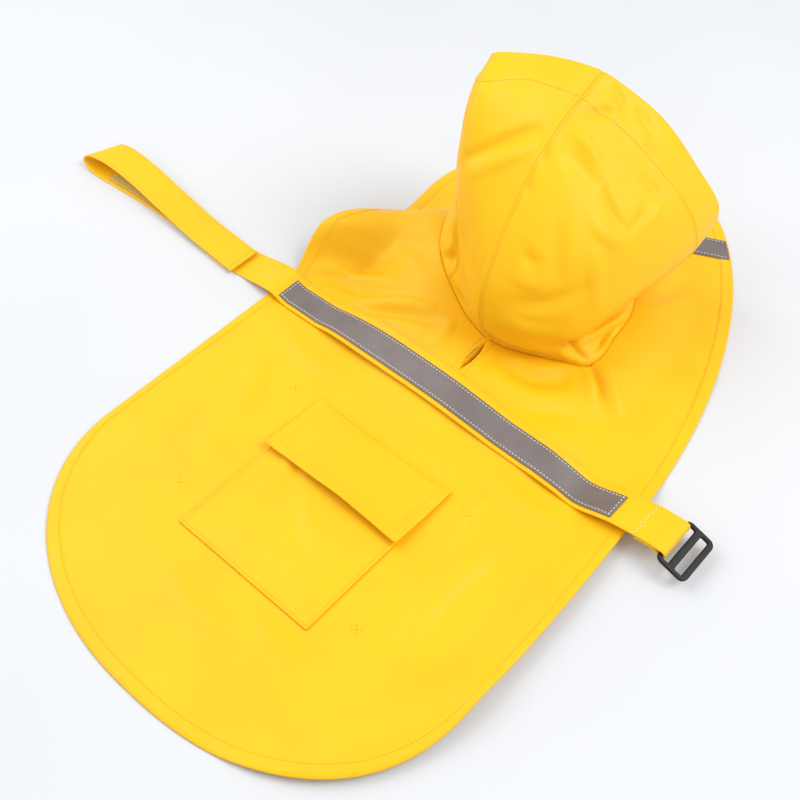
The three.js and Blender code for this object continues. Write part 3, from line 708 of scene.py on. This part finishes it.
def stitch_tree():
    """Geometry nodes that set one small thread bead at each step of every line they are given."""
    tree = bpy.data.node_groups.get("stitch line")
    if tree:
        return tree
    tree = bpy.data.node_groups.new("stitch line", "GeometryNodeTree")
    face = tree.interface
    face.new_socket("Geometry", in_out="INPUT", socket_type="NodeSocketGeometry")
    face.new_socket("Pitch", in_out="INPUT", socket_type="NodeSocketFloat")
    face.new_socket("Stitch Length", in_out="INPUT", socket_type="NodeSocketFloat")
    face.new_socket("Thread", in_out="INPUT", socket_type="NodeSocketFloat")
    face.new_socket("Material", in_out="INPUT", socket_type="NodeSocketMaterial")
    face.new_socket("Geometry", in_out="OUTPUT", socket_type="NodeSocketGeometry")
    tree.is_modifier = True

    given = add_node(tree, "NodeGroupInput").outputs
    lines = add_node(tree, "GeometryNodeMeshToCurve", {"Mesh": given["Geometry"]})
    steps = {"Curve": lines.outputs[0], "Length": given["Pitch"]}
    steps = add_node(tree, "GeometryNodeResampleCurve", steps, mode="LENGTH")
    bead = add_node(tree, "GeometryNodeMeshUVSphere", {"Segments": 6, "Rings": 4, "Radius": 0.5})
    size = {"X": given["Thread"], "Y": given["Thread"], "Z": given["Stitch Length"]}
    size = add_node(tree, "ShaderNodeCombineXYZ", size)
    tangent = add_node(tree, "GeometryNodeInputTangent")
    turn = add_node(tree, "FunctionNodeAlignRotationToVector", {"Vector": tangent.outputs[0]}, axis="Z")
    sewn = add_node(tree, "GeometryNodeInstanceOnPoints", {
        "Points": steps.outputs[0], "Instance": bead.outputs[0],
        "Rotation": turn.outputs[0], "Scale": size.outputs[0],
    })
    real = add_node(tree, "GeometryNodeRealizeInstances", {0: sewn.outputs[0]})
    soft = add_node(tree, "GeometryNodeSetShadeSmooth", {0: real.outputs[0]})
    dyed = {"Geometry": soft.outputs[0], "Material": given["Material"]}
    dyed = add_node(tree, "GeometryNodeSetMaterial", dyed)
    add_node(tree, "NodeGroupOutput", {0: dyed.outputs[0]})
    return tree


def sew(name, lines, material, thickness=1.0):
    """Sews along lines of points, which lie on the cloth's face, and returns one plain mesh."""
    sizes = bpy.context.scene.raincoat_sizes
    points, edges = [], []
    for line in lines:
        line = even_line(line, 3)
        start = len(points)
        points += line.tolist()
        edges += [(start + k, start + k + 1) for k in range(len(line) - 1)]
    host = new_object(name + "_line", points, [], None, edges)
    modifier = host.modifiers.new("stitches", "NODES")
    modifier.node_group = stitch_tree()
    values = {
        "Pitch": sizes.stitch_pitch, "Stitch Length": sizes.stitch_length,
        "Thread": sizes.thread * thickness, "Material": material,
    }
    for item in modifier.node_group.interface.items_tree:
        if item.in_out == "INPUT" and item.name in values:
            modifier[item.identifier] = values[item.name]
    made = bpy.data.meshes.new_from_object(host.evaluated_get(bpy.context.evaluated_depsgraph_get()))
    bpy.data.objects.remove(host)
    if not len(made.polygons):
        raise RuntimeError(f"{name} has no stitches")
    made.name = name
    piece = bpy.data.objects.new(name, made)
    bpy.context.scene.collection.objects.link(piece)
    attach(piece, "root")
    return piece


def yellow_thread():
    colours = bpy.context.scene.raincoat_colours
    return material_of("yellow spun polyester thread", spun_thread, colours.thread)


def grey_thread():
    colours = bpy.context.scene.raincoat_colours
    return material_of("light grey spun polyester thread", spun_thread, colours.tape_thread)


def flat_cut(piece, node):
    """Hangs a finished piece under the root and hides the imported part that it stands for."""
    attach(piece, "root")
    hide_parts(node)


# ---------------------------------------------------------------- the round panel


def panel_grid(columns):
    """Rows of the panel from its neck edge to its hem, and half the slit's opening in each row."""
    samples = np.stack([HEM * np.cos(np.radians(TURNS)), HEM * np.sin(np.radians(TURNS))], -1)
    lengths = np.concatenate([[0], np.cumsum(np.linalg.norm(np.diff(samples, axis=0), axis=1))])
    turns = np.interp(np.linspace(0, lengths[-1], columns + 1), lengths, TURNS)
    neck, hem = around(1, turns), hem_at(turns)
    near = np.linspace(0, SLIT_END, 22)
    rest = np.linspace(0, 1, 86)[1:]
    hem_rows = [1 - 0.01 * k for k in (3, 2, 1)]
    rest = np.unique(np.concatenate([rest, hem_rows]))
    radii = [neck + gap for gap in near]
    radii += [neck + SLIT_END + share * (hem - neck - SLIT_END) for share in rest]
    radius = np.array(radii)
    x = radius * np.cos(np.radians(turns))
    y = NECK_Y + radius * np.sin(np.radians(turns))
    along = (near - SLIT_START) / (SLIT_END - SLIT_START)
    half = np.where((along > 0) & (along < 1), SLIT_HALF * np.sin(np.pi * np.clip(along, 0, 1)) ** 0.7, 0)
    for row, gap in enumerate(half):
        for column in range(6):
            spread = gap * (1 - column / 6) ** 2
            x[row, column] += spread
            x[row, -1 - column] -= spread
    return x, y, np.concatenate([half, np.zeros(len(rest))])


class RAINCOAT_OT_back_panel(bpy.types.Operator):
    """Lay out the round panel of the coat with its hem, its folds and the leash slit"""

    bl_idname = "raincoat.back_panel"
    bl_label = "Back panel"

    def execute(self, context):
        sizes = context.scene.raincoat_sizes
        hem_width = sizes.hem / MM
        x, y, slit = panel_grid(420)
        low = panel_height(x, y)
        relief = panel_relief(x, y, hem_width)
        hem_part = hem_relief(x, y, hem_width)
        lift = np.maximum(relief - hem_part, -0.8 * low)
        grid = np.stack([x, y, low + lift], -1)
        # The slit's edges are turned down inside as facings.
        inward = (slit * 0.3)[:, None] * np.array([-1.0, 1.0])
        down = np.minimum(slit * 5, (low[:, 0] - 1.5).clip(0))[:, None] * np.array([1.0, 1.0])
        facing = grid[:, [0, -1]] + np.stack([inward, 0 * inward, -down], -1)
        grid = np.concatenate([facing[:, :1], grid, facing[:, 1:]], axis=1)
        hem_part = np.concatenate([hem_part[:, :1], hem_part, hem_part[:, -1:]], axis=1)
        piece = cloth_shell("coat_panel", grid, CLOTH, cloth(), hem_part)
        flat_cut(piece, "body_panel")

        def on_panel(points, lift=0.25):
            points = np.asarray(points, float)
            return np.column_stack([points, panel_top(points[:, 0], points[:, 1], hem_width) + lift])

        turns = np.linspace(-90, 270, 900)
        inside = hem_at(turns) - hem_width
        turns = np.radians(turns)
        hem_line = np.stack([inside * np.cos(turns), NECK_Y + inside * np.sin(turns)], -1)
        lines = [on_panel(hem_line)]
        for side in (-1, 1):
            gaps = np.linspace(SLIT_START - 1, SLIT_END + 3, 12)
            lines.append(on_panel(np.stack([np.full(12, side * 6.0), NECK_Y - 84 - gaps], -1)))
        for px, py in ((-98, -77), (98, -77), (-98, -208), (98, -208)):
            for slope in (-1, 1):
                lines.append(on_panel([(px - 2.5, py - 2.5 * slope), (px + 2.5, py + 2.5 * slope)]))
        sew("panel_stitches", lines, yellow_thread())
        return {"FINISHED"}


# ---------------------------------------------------------------- the hood


def hood_points(sections, levels):
    """Points of the hood's inner side, one row for each level and one column for each section.
    Its foot follows the neck edge, and its cloth starts straight up from there."""
    t = np.asarray(sections, float) / (len(HOOD) - 1)
    turns = spline([(row[0], 0, 0) for row in HOOD], t)[:, 0]
    radius = around(1, turns) - CLOTH - HOOD_INSET
    x, y = radius * np.cos(np.radians(turns)), NECK_Y + radius * np.sin(np.radians(turns))
    foot = np.stack([x, y, panel_height(x, y) + 0.3], -1)
    sides = spline(np.array([row[1:] for row in HOOD], float), t)
    uprights = np.concatenate([foot[:, None], foot[:, None] + (0, 0, HOOD_COLLAR), sides], axis=1)
    return spline(np.swapaxes(uprights, 0, 1), np.asarray(levels, float) / HOOD_TOP)


def hood_place(section, level):
    return hood_points([section], [level])[0, 0]


def hood_relief(grid, sections, brim):
    """Folds, the brim's hem and the puckers of its seams, as a lift of the cloth."""
    folds = [([hood_place(s, v) for s, v in line], width, height) for line, width, height in HOOD_FOLDS]
    lift = folds_at(grid, folds)
    up = np.linalg.norm(np.diff(grid, axis=0), axis=-1)
    from_neck = np.concatenate([np.zeros((1, grid.shape[1])), np.cumsum(up, axis=0)])
    to_brim = from_neck[-1:] - from_neck
    across = np.cumsum(np.linalg.norm(np.diff(grid, axis=1), axis=-1), axis=1)
    across = np.concatenate([np.zeros((grid.shape[0], 1)), across], axis=1)
    if sections[0] == 0:
        swell = BRIM_SWELL * np.sin(np.pi * np.clip(sections / SEAM_SECTION, 0, 1))
        to_brim = to_brim * brim / (brim + swell)
    hem = 0.8 * (1 - smooth(to_brim, brim - 1.5, brim + 1.5))
    pucker = 0.5 * np.sin(across / 6.3) * np.sin(across / 15.1 + 0.7) * bell((to_brim - brim) / 12)
    fade = smooth(from_neck, 2, 14) * smooth(to_brim, -1, 8)
    ruffle = 1.4 * np.sin(across / 9.7 + 0.8) * np.sin(across / 23.0) * bell((from_neck - 12) / 16)
    return lift * fade + hem + pucker + ruffle * smooth(from_neck, 0, 8), across, to_brim


def line_at(face, gap, wanted):
    """The line over a grid of points where gap, which falls down each column, is wanted."""
    line = [
        [np.interp(wanted, gap[::-1, j], face[::-1, j, k]) for k in range(3)]
        for j in range(face.shape[1])
    ]
    return np.array(line)


class RAINCOAT_OT_hood(bpy.types.Operator):
    """Stand up the two panels of the hood with their centre seam and brim hem"""

    bl_idname = "raincoat.hood"
    bl_label = "Hood"

    def execute(self, context):
        brim = context.scene.raincoat_sizes.brim_hem / MM
        levels = np.linspace(0, HOOD_TOP, 133)
        lap = 0.03
        lines = []
        for name, node, first, last, cut, area in (
            ("hood_panel_right", "hood_right", 0, SEAM_SECTION, (0.300, 0.287), 0.048),
            ("hood_panel_left", "hood_left", SEAM_SECTION, len(HOOD) - 1, (0.315, 0.284), 0.044),
        ):
            sections = np.linspace(first - (lap if first else 0), last, 151)
            grid = hood_points(sections, levels)
            relief, across, to_brim = hood_relief(grid, sections, brim)
            seam = across[:, -1:] - across if first == 0 else across
            rib = -0.2 * bell(seam / 3) if first == 0 else 1.5 * bell((seam - 2) / 2.2)
            relief = relief * smooth(seam, 0, 6) + rib
            normal = normals_of(grid.reshape(-1, 3), grid_faces(*grid.shape[:2])).reshape(grid.shape)
            lifted = grid + normal * relief[..., None]
            # The seam allowance at its foot is turned out under the neck edge.
            out = grid[:1] - (0, NECK_Y, 0)
            out[..., 2] = 0
            out = out / np.linalg.norm(out, axis=-1, keepdims=True)
            foot = lifted[:1]
            allowance = np.concatenate([foot + out * 5.0 - (0, 0, 2.4), foot + out * 1.0 - (0, 0, 1.8)])
            allowance[..., 2] = np.maximum(allowance[..., 2], 0.3)
            lifted = np.concatenate([allowance, lifted])
            piece = cloth_shell(name, lifted, CLOTH, cloth())
            flat_cut(piece, node)
            face = lifted[2:] + normal * (CLOTH + 0.25)
            lines.append(line_at(face, to_brim, brim))
            if first == 0:
                lines.append(line_at(np.swapaxes(face, 0, 1), seam.T, 4.0)[8:])
        sew("hood_stitches", lines, yellow_thread())
        return {"FINISHED"}


# ---------------------------------------------------------------- strap and its tapes


def strap_height(x):
    """Middle of the strap's thickness: over the panel, down to the table, up to the buckle."""
    x = np.asarray(x, float)
    edge = np.clip(x, -STRAP_ON_PANEL, STRAP_ON_PANEL)
    across = [resting_height(edge, STRAP_Y + share * STRAP_WIDTH) for share in (-0.4, 0, 0.4)]
    lying = np.max(across, axis=0) + STRAP_THICK / 2
    down = smooth(-x, STRAP_ON_PANEL, STRAP_ON_TABLE)
    up = smooth(x, STRAP_RISES, BAR_X)
    left = lying + (STRAP_THICK / 2 - lying) * down
    right = lying + (BAR_Z + WRAP_RADIUS - lying) * up
    return np.where(x < 0, left, right) - 0.42 * strap_tilt(x)


def strap_tilt(x):
    """How much higher the strap's far edge lies than its near one, where the panel slopes under it."""
    x = np.asarray(x, float)
    half = STRAP_WIDTH / 2
    slope = panel_height(x, STRAP_Y + half) - panel_height(x, STRAP_Y - half)
    return np.clip(slope, 0, 9) * smooth(200 - np.abs(x), 0, 50)


def loose_end(count):
    table = np.array(LOOSE_END, float)
    t = np.linspace(0, 1, count)
    path = spline(table[:, :3], t)
    skew = spline(np.stack([table[:, 3], 0 * table[:, 3], 0 * table[:, 3]], -1), t)[:, 0]
    path[:, 2] = np.maximum(path[:, 2], STRAP_THICK / 2)
    return path, skew


def strap_path():
    loose, skew = loose_end(260)
    x = np.arange(-258, 225, 2.0)
    lying = np.stack([x, np.full_like(x, STRAP_Y), strap_height(x)], -1)
    settle = smooth(x, -262, -225)
    lying[:, 1] = -1 + (STRAP_Y + 1) * settle
    turns = np.radians(np.linspace(95, -80, 14))
    wrap_x, wrap_z = BAR_X + WRAP_RADIUS * np.cos(turns), BAR_Z + WRAP_RADIUS * np.sin(turns)
    wrap = np.stack([wrap_x, np.full(14, STRAP_Y), wrap_z], -1)
    back = np.array([224, 220, 216, 212, 209.0])
    under = np.stack([back, np.full(5, STRAP_Y), strap_height(back) - STRAP_THICK - 0.9], -1)
    path = np.concatenate([loose, lying, wrap, under])
    skew = np.concatenate([skew, np.zeros(len(path) - len(skew))])
    width = LOOSE_WIDTH + (STRAP_WIDTH - LOOSE_WIDTH) * smooth(path[:, 0], -250, -200)
    return path, width, skew


class RAINCOAT_OT_strap(bpy.types.Operator):
    """Run the belly strap over the back, with its loose end folded on its fastening patches"""

    bl_idname = "raincoat.strap"
    bl_label = "Belly strap"

    def execute(self, context):
        path, width, skew = strap_path()
        tilt = np.where(path[:, 2] > 3, strap_tilt(path[:, 0]), 0)
        piece = band("strap", path, width, STRAP_THICK, cloth(), skew, tilt, across=17, edge_roll=0.25)
        flat_cut(piece, "belly_strap")
        up = STRAP_THICK / 2 + 0.1
        x = np.arange(-236, 214, 3.0)
        lines = [
            np.stack([x, STRAP_Y + y + 0 * x, strap_height(x) + strap_tilt(x) * y / STRAP_WIDTH + up], -1)
            for y in (2.6 - STRAP_WIDTH / 2, STRAP_WIDTH / 2 - 2.6)
        ]
        loose, _ = loose_end(260)
        top = loose[loose[:, 2] > 4.8]
        top = top[top[:, 0] > -452]
        lines += [top + (0, side * (LOOSE_WIDTH / 2 - 2.6), up) for side in (-1, 1)]
        y = np.linspace(-13, 13, 8) - 1.5
        lines.append(np.stack([np.full(8, END_SEAM_X), y, np.full(8, END_SEAM_Z + up)], -1))
        # The end behind the buckle is held by a zigzag across the strap.
        y = STRAP_Y + np.linspace(2.0 - STRAP_WIDTH / 2, STRAP_WIDTH / 2 - 2.0, 13)
        x = ZIGZAG_X + 1.3 * np.where(np.arange(13) % 2, 1, -1)
        zigzag = np.stack([x, y, strap_height(x) + up], -1)
        sew("strap_stitches", lines, yellow_thread())
        sew("zigzag_stitches", [zigzag], grey_thread())
        return {"FINISHED"}


class RAINCOAT_OT_tapes(bpy.types.Operator):
    """Sew the reflective tapes on the strap and on both sides of the chest"""

    bl_idname = "raincoat.tapes"
    bl_label = "Reflective tapes"

    def execute(self, context):
        colours = context.scene.raincoat_colours
        tape = material_of("glass bead reflective tape", bead_tape, colours.tape)
        x = np.arange(-TAPE_LENGTH / 2, TAPE_LENGTH / 2 + 1, 2.0)
        lift = (STRAP_THICK + TAPE_THICK) / 2 + GAP
        share = TAPE_WIDTH / STRAP_WIDTH
        tilt = strap_tilt(x)
        path = np.stack([x, 0 * x, strap_height(x) + lift - tilt * STRAP_Y / STRAP_WIDTH], -1)
        piece = band("back_reflector", path, TAPE_WIDTH, TAPE_THICK, tape, None, tilt * share, across=11)
        flat_cut(piece, "back_tape")
        inset = 2.4
        face = lift + TAPE_THICK / 2 + 0.25
        half = TAPE_WIDTH / 2 - inset
        end = TAPE_LENGTH / 2 - inset
        along = np.arange(-end, end, 3.0)

        def on_tape(x, y):
            x, y = np.broadcast_arrays(np.asarray(x, float), np.asarray(y, float))
            z = strap_height(x) + face + strap_tilt(x) * (y - STRAP_Y) / STRAP_WIDTH
            return np.stack([x, y, z], -1)

        lines = [on_tape(along, side * half) for side in (-1, 1)]
        lines += [on_tape(side * end, np.linspace(-half, half, 8)) for side in (-1, 1)]
        for side, name, node in (
            (1, "chest_reflector_right", "chest_tape_right"),
            (-1, "chest_reflector_left", "chest_tape_left"),
        ):
            grid = self.chest_grid(side)
            chest = cloth_shell(name, grid if side > 0 else grid[::-1], TAPE_THICK, tape)
            flat_cut(chest, node)
            for row in (2, -3):
                line = grid[row] + (0, 0, TAPE_THICK + 0.25)
                lines.append(line[1:-2])
        sew("tape_stitches", lines, grey_thread(), 1.5)
        return {"FINISHED"}

    def chest_grid(self, side):
        turn = math.radians(25)
        ax, ay = math.cos(turn), math.sin(turn)
        rows = []
        for share in np.linspace(-0.5, 0.5, 21):
            sx = 26 + ay * share * TAPE_WIDTH
            sy = 288 - ax * share * TAPE_WIDTH
            reach = np.arange(30, 220, 0.5)
            inside = inside_hem(sx + ax * (reach + 1), sy + ay * (reach + 1))
            length = reach[np.argmin(inside)] if not inside.all() else reach[-1]
            steps = np.linspace(0, length, 41)
            x, y = sx + ax * steps, sy + ay * steps
            if side < 0:
                x = -x + hem_shift(-x, y)
            rows.append(np.stack([x, y, resting_height(x, y)], -1))
        return np.array(rows)


class RAINCOAT_OT_patches(bpy.types.Operator):
    """Sew the loop and hook patches between the layers of the strap's loose end"""

    bl_idname = "raincoat.patches"
    bl_label = "Fastening patches"

    def execute(self, context):
        colours = context.scene.raincoat_colours
        pile = material_of("napped nylon hook and loop", napped_tape, colours.fastening)
        lower = np.array(LOOSE_END[11:], float)
        for name, node, start, end, layer in (
            ("loop_tape", "loop_patch", -432, -264, 0),
            ("hook_tape", "hook_patch", -300, -264, 1),
        ):
            x = np.arange(start, end + 1, 3.0)
            z = STRAP_THICK + GAP + PATCH_THICK / 2 + layer * (PATCH_THICK + GAP)
            path = np.stack([x, np.interp(x, lower[:, 0], lower[:, 1]), np.full_like(x, z)], -1)
            piece = band(name, path, 28, PATCH_THICK, pile, across=11)
            flat_cut(piece, node)
        return {"FINISHED"}


# ---------------------------------------------------------------- pocket


def over_panel(width, ys, height):
    """Rows over the panel from the top edge down, lifted by height(x, y) over the panel's face."""
    xs = np.linspace(-width / 2, width / 2, 71)
    x, y = np.meshgrid(xs, ys)
    return np.stack([x, y, resting_height(x, y) + height(x, y)], -1)


def edge_hem(gap, width):
    """A turned and stitched edge: a cloth thicker, with a groove at its stitches."""
    return 0.5 * (1 - smooth(gap, width, width + 1.5)) - 0.35 * bell((gap - width * 0.6) / 1.6)


class RAINCOAT_OT_pocket(bpy.types.Operator):
    """Sew the pocket and its flap on the back"""

    bl_idname = "raincoat.pocket"
    bl_label = "Pocket and flap"

    def execute(self, context):
        half = POCKET_WIDTH / 2

        def puff(x, y, folded=True):
            inner = np.minimum(half - np.abs(x), y - POCKET_BOTTOM)
            wave = np.sin(x / 33 + 0.6) * np.sin(y / 41) + 0.6 * np.sin((x + y) / 27)
            folds = folds_at(np.stack([x, y], -1), POCKET_FOLDS) if folded else 0
            return smooth(inner, 2, 26) * (1.8 + 0.6 * wave) + smooth(inner, 1, 10) * folds

        grid = over_panel(POCKET_WIDTH, np.linspace(POCKET_BOTTOM, POCKET_TOP, 81), puff)
        gap = np.minimum(half - np.abs(grid[..., 0]), grid[..., 1] - POCKET_BOTTOM)
        pocket = cloth_shell("back_pocket", grid[::-1], CLOTH, cloth(), edge_hem(gap, 3.0)[::-1])
        flat_cut(pocket, "pocket")

        flap_half = FLAP_WIDTH / 2

        def lift(x, y):
            over = smooth(-y, -POCKET_TOP - 3, -POCKET_TOP + 1)
            down = np.clip((POCKET_TOP + 1 - y) / (POCKET_TOP + 1 - FLAP_BOTTOM), 0, 1)
            wave = 1 + 0.22 * np.sin(x / 19 + 0.9) + 0.05 * np.sin(x / 8.5)
            puffed = puff(np.clip(x, -half, half), y, False) * over * smooth(down, 0, 0.15)
            return over * (CLOTH + GAP) + puffed + (FLAP_LIFT - 2) * down**2 * wave

        seam, fall = np.linspace(FLAP_TOP, POCKET_TOP + 3, 3), np.linspace(POCKET_TOP + 2, FLAP_BOTTOM, 46)
        ys = np.concatenate([seam, fall])
        grid = over_panel(FLAP_WIDTH, ys, lift)
        x, y = grid[..., 0], grid[..., 1]
        gap = np.minimum(flap_half - np.abs(x), y - FLAP_BOTTOM)
        relief = edge_hem(gap, 3.5) + edge_hem(gap, 10.0) * 0.6
        flap = cloth_shell("back_pocket_flap", grid, CLOTH, cloth(), relief)
        flat_cut(flap, "pocket_flap")

        lines = []

        def stitch(corners, height, proud):
            """One straight line of stitches from each corner to the next."""
            for start, end in zip(corners, corners[1:]):
                t = np.linspace(0, 1, 30)[:, None]
                line = np.array(start) * (1 - t) + np.array(end) * t
                x, y = line[:, 0], line[:, 1]
                lines.append(np.column_stack([line, resting_height(x, y) + height(x, y) + CLOTH + proud]))

        xs, bottom, top = half - 2.4, POCKET_BOTTOM + 2.4, POCKET_TOP - 4
        stitch([(-xs, top), (-xs, bottom), (xs, bottom), (xs, top)], puff, 0.35)
        for inset in (2.6, 9.0):
            xs, bottom, top = flap_half - inset, FLAP_BOTTOM + inset, FLAP_TOP - 2
            stitch([(-xs, top), (-xs, bottom), (xs, bottom), (xs, top)], lift, 0.4)
            stitch([(-xs, FLAP_TOP - 3), (xs, FLAP_TOP - 3)], lift, 0.4)
        sew("pocket_stitches", lines, yellow_thread())
        return {"FINISHED"}


# ---------------------------------------------------------------- buckle


def rounded_spline(curve, x0, x1, y0, y1, corner):
    points = []
    for cx, cy, start in (
        (x1 - corner, y0 + corner, -90), (x1 - corner, y1 - corner, 0),
        (x0 + corner, y1 - corner, 90), (x0 + corner, y0 + corner, 180),
    ):
        for k in range(7):
            turn = math.radians(start + 15 * k)
            points.append((cx + corner * math.cos(turn), cy + corner * math.sin(turn)))
    path = curve.splines.new("POLY")
    path.points.add(len(points) - 1)
    for point, (x, y) in zip(path.points, points):
        point.co = (x * MM, y * MM, 0, 1)
    path.use_cyclic_u = True


class RAINCOAT_OT_buckle(bpy.types.Operator):
    """Mould the slider buckle with its rounded bars"""

    bl_idname = "raincoat.buckle"
    bl_label = "Slider buckle"

    def execute(self, context):
        edge = BUCKLE_EDGE
        curve = bpy.data.curves.new("slider", "CURVE")
        curve.dimensions = "2D"
        curve.fill_mode = "BOTH"
        start, end = BUCKLE_SPAN
        rounded_spline(curve, start + edge, end - edge, edge - BUCKLE_HALF, BUCKLE_HALF - edge, 5)
        for start, end in BUCKLE_OPENINGS:
            rounded_spline(curve, start - edge, end + edge, -OPENING_HALF - edge, OPENING_HALF + edge, 2.4)
        curve.extrude = (BUCKLE_HALF_THICK - edge) * MM
        curve.bevel_depth = edge * MM
        curve.bevel_resolution = 4
        host = bpy.data.objects.new("slider_curve", curve)
        context.scene.collection.objects.link(host)
        mesh = bpy.data.meshes.new_from_object(host.evaluated_get(context.evaluated_depsgraph_get()))
        bpy.data.objects.remove(host)
        place = Matrix.Translation(Vector((BAR_X, STRAP_Y + STRAP_FROM_ORIGIN, BAR_Z)) * MM)
        mesh.transform(place @ Euler((0, 0.33, 0)).to_matrix().to_4x4())
        mesh.polygons.foreach_set("use_smooth", np.ones(len(mesh.polygons), bool))
        mesh.materials.clear()
        colours = context.scene.raincoat_colours
        mesh.materials.append(material_of("moulded black acetal", moulded_acetal, colours.buckle))
        piece = bpy.data.objects.new("buckle", mesh)
        context.scene.collection.objects.link(piece)
        weld = bmesh.new()
        weld.from_mesh(mesh)
        bmesh.ops.remove_doubles(weld, verts=weld.verts, dist=1e-6)
        bmesh.ops.recalc_face_normals(weld, faces=weld.faces)
        weld.to_mesh(mesh)
        weld.free()
        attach(piece, "root")
        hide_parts("slider_buckle")
        return {"FINISHED"}


# ---------------------------------------------------------------- stage


class RAINCOAT_OT_stage(bpy.types.Operator):
    """Set the table, the soft light and the camera"""

    bl_idname = "raincoat.stage"
    bl_label = "Stage"

    def execute(self, context):
        scene = context.scene
        mesh = bpy.data.meshes.new("table_top")
        size = 40.0
        corners = [(-size, -size, 0), (size, -size, 0), (size, size, 0), (-size, size, 0)]
        mesh.from_pydata(corners, [], [(0, 1, 2, 3)])
        table = bpy.data.objects.new("table", mesh)
        scene.collection.objects.link(table)
        mesh.materials.append(material_of("matt laminate table", matt_table))

        camera = bpy.data.objects.new("camera", bpy.data.cameras.new("camera"))
        camera.data.lens = 50
        camera.data.sensor_width = 36
        camera.location = (0.3703, -0.3141, 0.7510)
        aim = Vector((-0.0229, 0.1247, 0)) - camera.location
        camera.rotation_euler = aim.to_track_quat("-Z", "Y").to_euler()
        camera.data.clip_start = 0.01
        scene.collection.objects.link(camera)
        scene.camera = camera

        scene.view_settings.view_transform = "Standard"
        world = bpy.data.worlds.new("soft room")
        world.use_nodes = True
        world.node_tree.nodes["Background"].inputs["Color"].default_value = (0.98, 0.985, 1.0, 1)
        world.node_tree.nodes["Background"].inputs["Strength"].default_value = 0.80
        scene.world = world
        for name, place, power, width in (
            ("key", (1.25, 0.75, 1.7), 27, 1.2),
            ("fill", (-1.3, -0.3, 1.5), 20, 1.6),
        ):
            lamp = bpy.data.lights.new(name, "AREA")
            lamp.energy = power
            lamp.size = width
            light = bpy.data.objects.new(name, lamp)
            light.location = place
            light.rotation_euler = (Vector((0, 0.12, 0)) - light.location).to_track_quat("-Z", "Y").to_euler()
            scene.collection.objects.link(light)
        return {"FINISHED"}


# ---------------------------------------------------------------- settings and panel


def swatch(name, description, hex_colour):
    return bpy.props.FloatVectorProperty(
        name=name, description=description, subtype="COLOR", size=3, min=0, max=1,
        default=paint(hex_colour)[:3],
    )


def length(name, description, millimetres):
    return bpy.props.FloatProperty(
        name=name, description=description, default=millimetres * MM, min=0,
        subtype="DISTANCE", unit="LENGTH",
    )


class RaincoatSizes(bpy.types.PropertyGroup):
    hem: length("Hem", "Width of the turned hem round the coat", 10)
    brim_hem: length("Brim hem", "Width of the hem round the hood's face opening", 31)
    stitch_pitch: length("Stitch pitch", "Distance from one stitch to the next", 3.2)
    stitch_length: length("Stitch length", "Length of thread that shows in each stitch", 2.2)
    thread: length("Thread", "Thickness of the sewing thread", 0.55)


class RaincoatColours(bpy.types.PropertyGroup):
    cloth: swatch("Cloth", "Colour of the coated cloth", "#f2bc06")
    tape: swatch("Reflective tape", "Colour of the reflective tape", "#736b69")
    fastening: swatch("Fastening tape", "Colour of the hook and loop patches", "#d9bd57")
    buckle: swatch("Buckle", "Colour of the moulded buckle", "#0e0e10")
    thread: swatch("Thread", "Colour of the thread on the cloth", "#ecb51c")
    tape_thread: swatch("Tape thread", "Colour of the thread on the reflective tape", "#e9e4da")


OPERATORS = (
    RAINCOAT_OT_back_panel,
    RAINCOAT_OT_hood,
    RAINCOAT_OT_strap,
    RAINCOAT_OT_tapes,
    RAINCOAT_OT_patches,
    RAINCOAT_OT_pocket,
    RAINCOAT_OT_buckle,
    RAINCOAT_OT_stage,
)


class RAINCOAT_PT_panel(bpy.types.Panel):
    """Settings and steps of the raincoat"""

    bl_label = "Dog raincoat"
    bl_idname = "RAINCOAT_PT_panel"
    bl_space_type = "VIEW_3D"
    bl_region_type = "UI"
    bl_category = "Raincoat"

    def draw(self, context):
        for settings in (context.scene.raincoat_sizes, context.scene.raincoat_colours):
            box = self.layout.box()
            for name in settings.__annotations__:
                box.prop(settings, name)
        for operator in OPERATORS:
            self.layout.operator(operator.bl_idname)


CLASSES = (RaincoatSizes, RaincoatColours, *OPERATORS, RAINCOAT_PT_panel)


def register():
    for cls in CLASSES:
        bpy.utils.register_class(cls)
    bpy.types.Scene.raincoat_sizes = bpy.props.PointerProperty(type=RaincoatSizes)
    bpy.types.Scene.raincoat_colours = bpy.props.PointerProperty(type=RaincoatColours)


def unregister():
    del bpy.types.Scene.raincoat_colours
    del bpy.types.Scene.raincoat_sizes
    for cls in reversed(CLASSES):
        bpy.utils.unregister_class(cls)


def main():
    register()
    for operator in OPERATORS:
        group, name = operator.bl_idname.split(".")
        getattr(getattr(bpy.ops, group), name)()


if __name__ == "__main__":
    main()
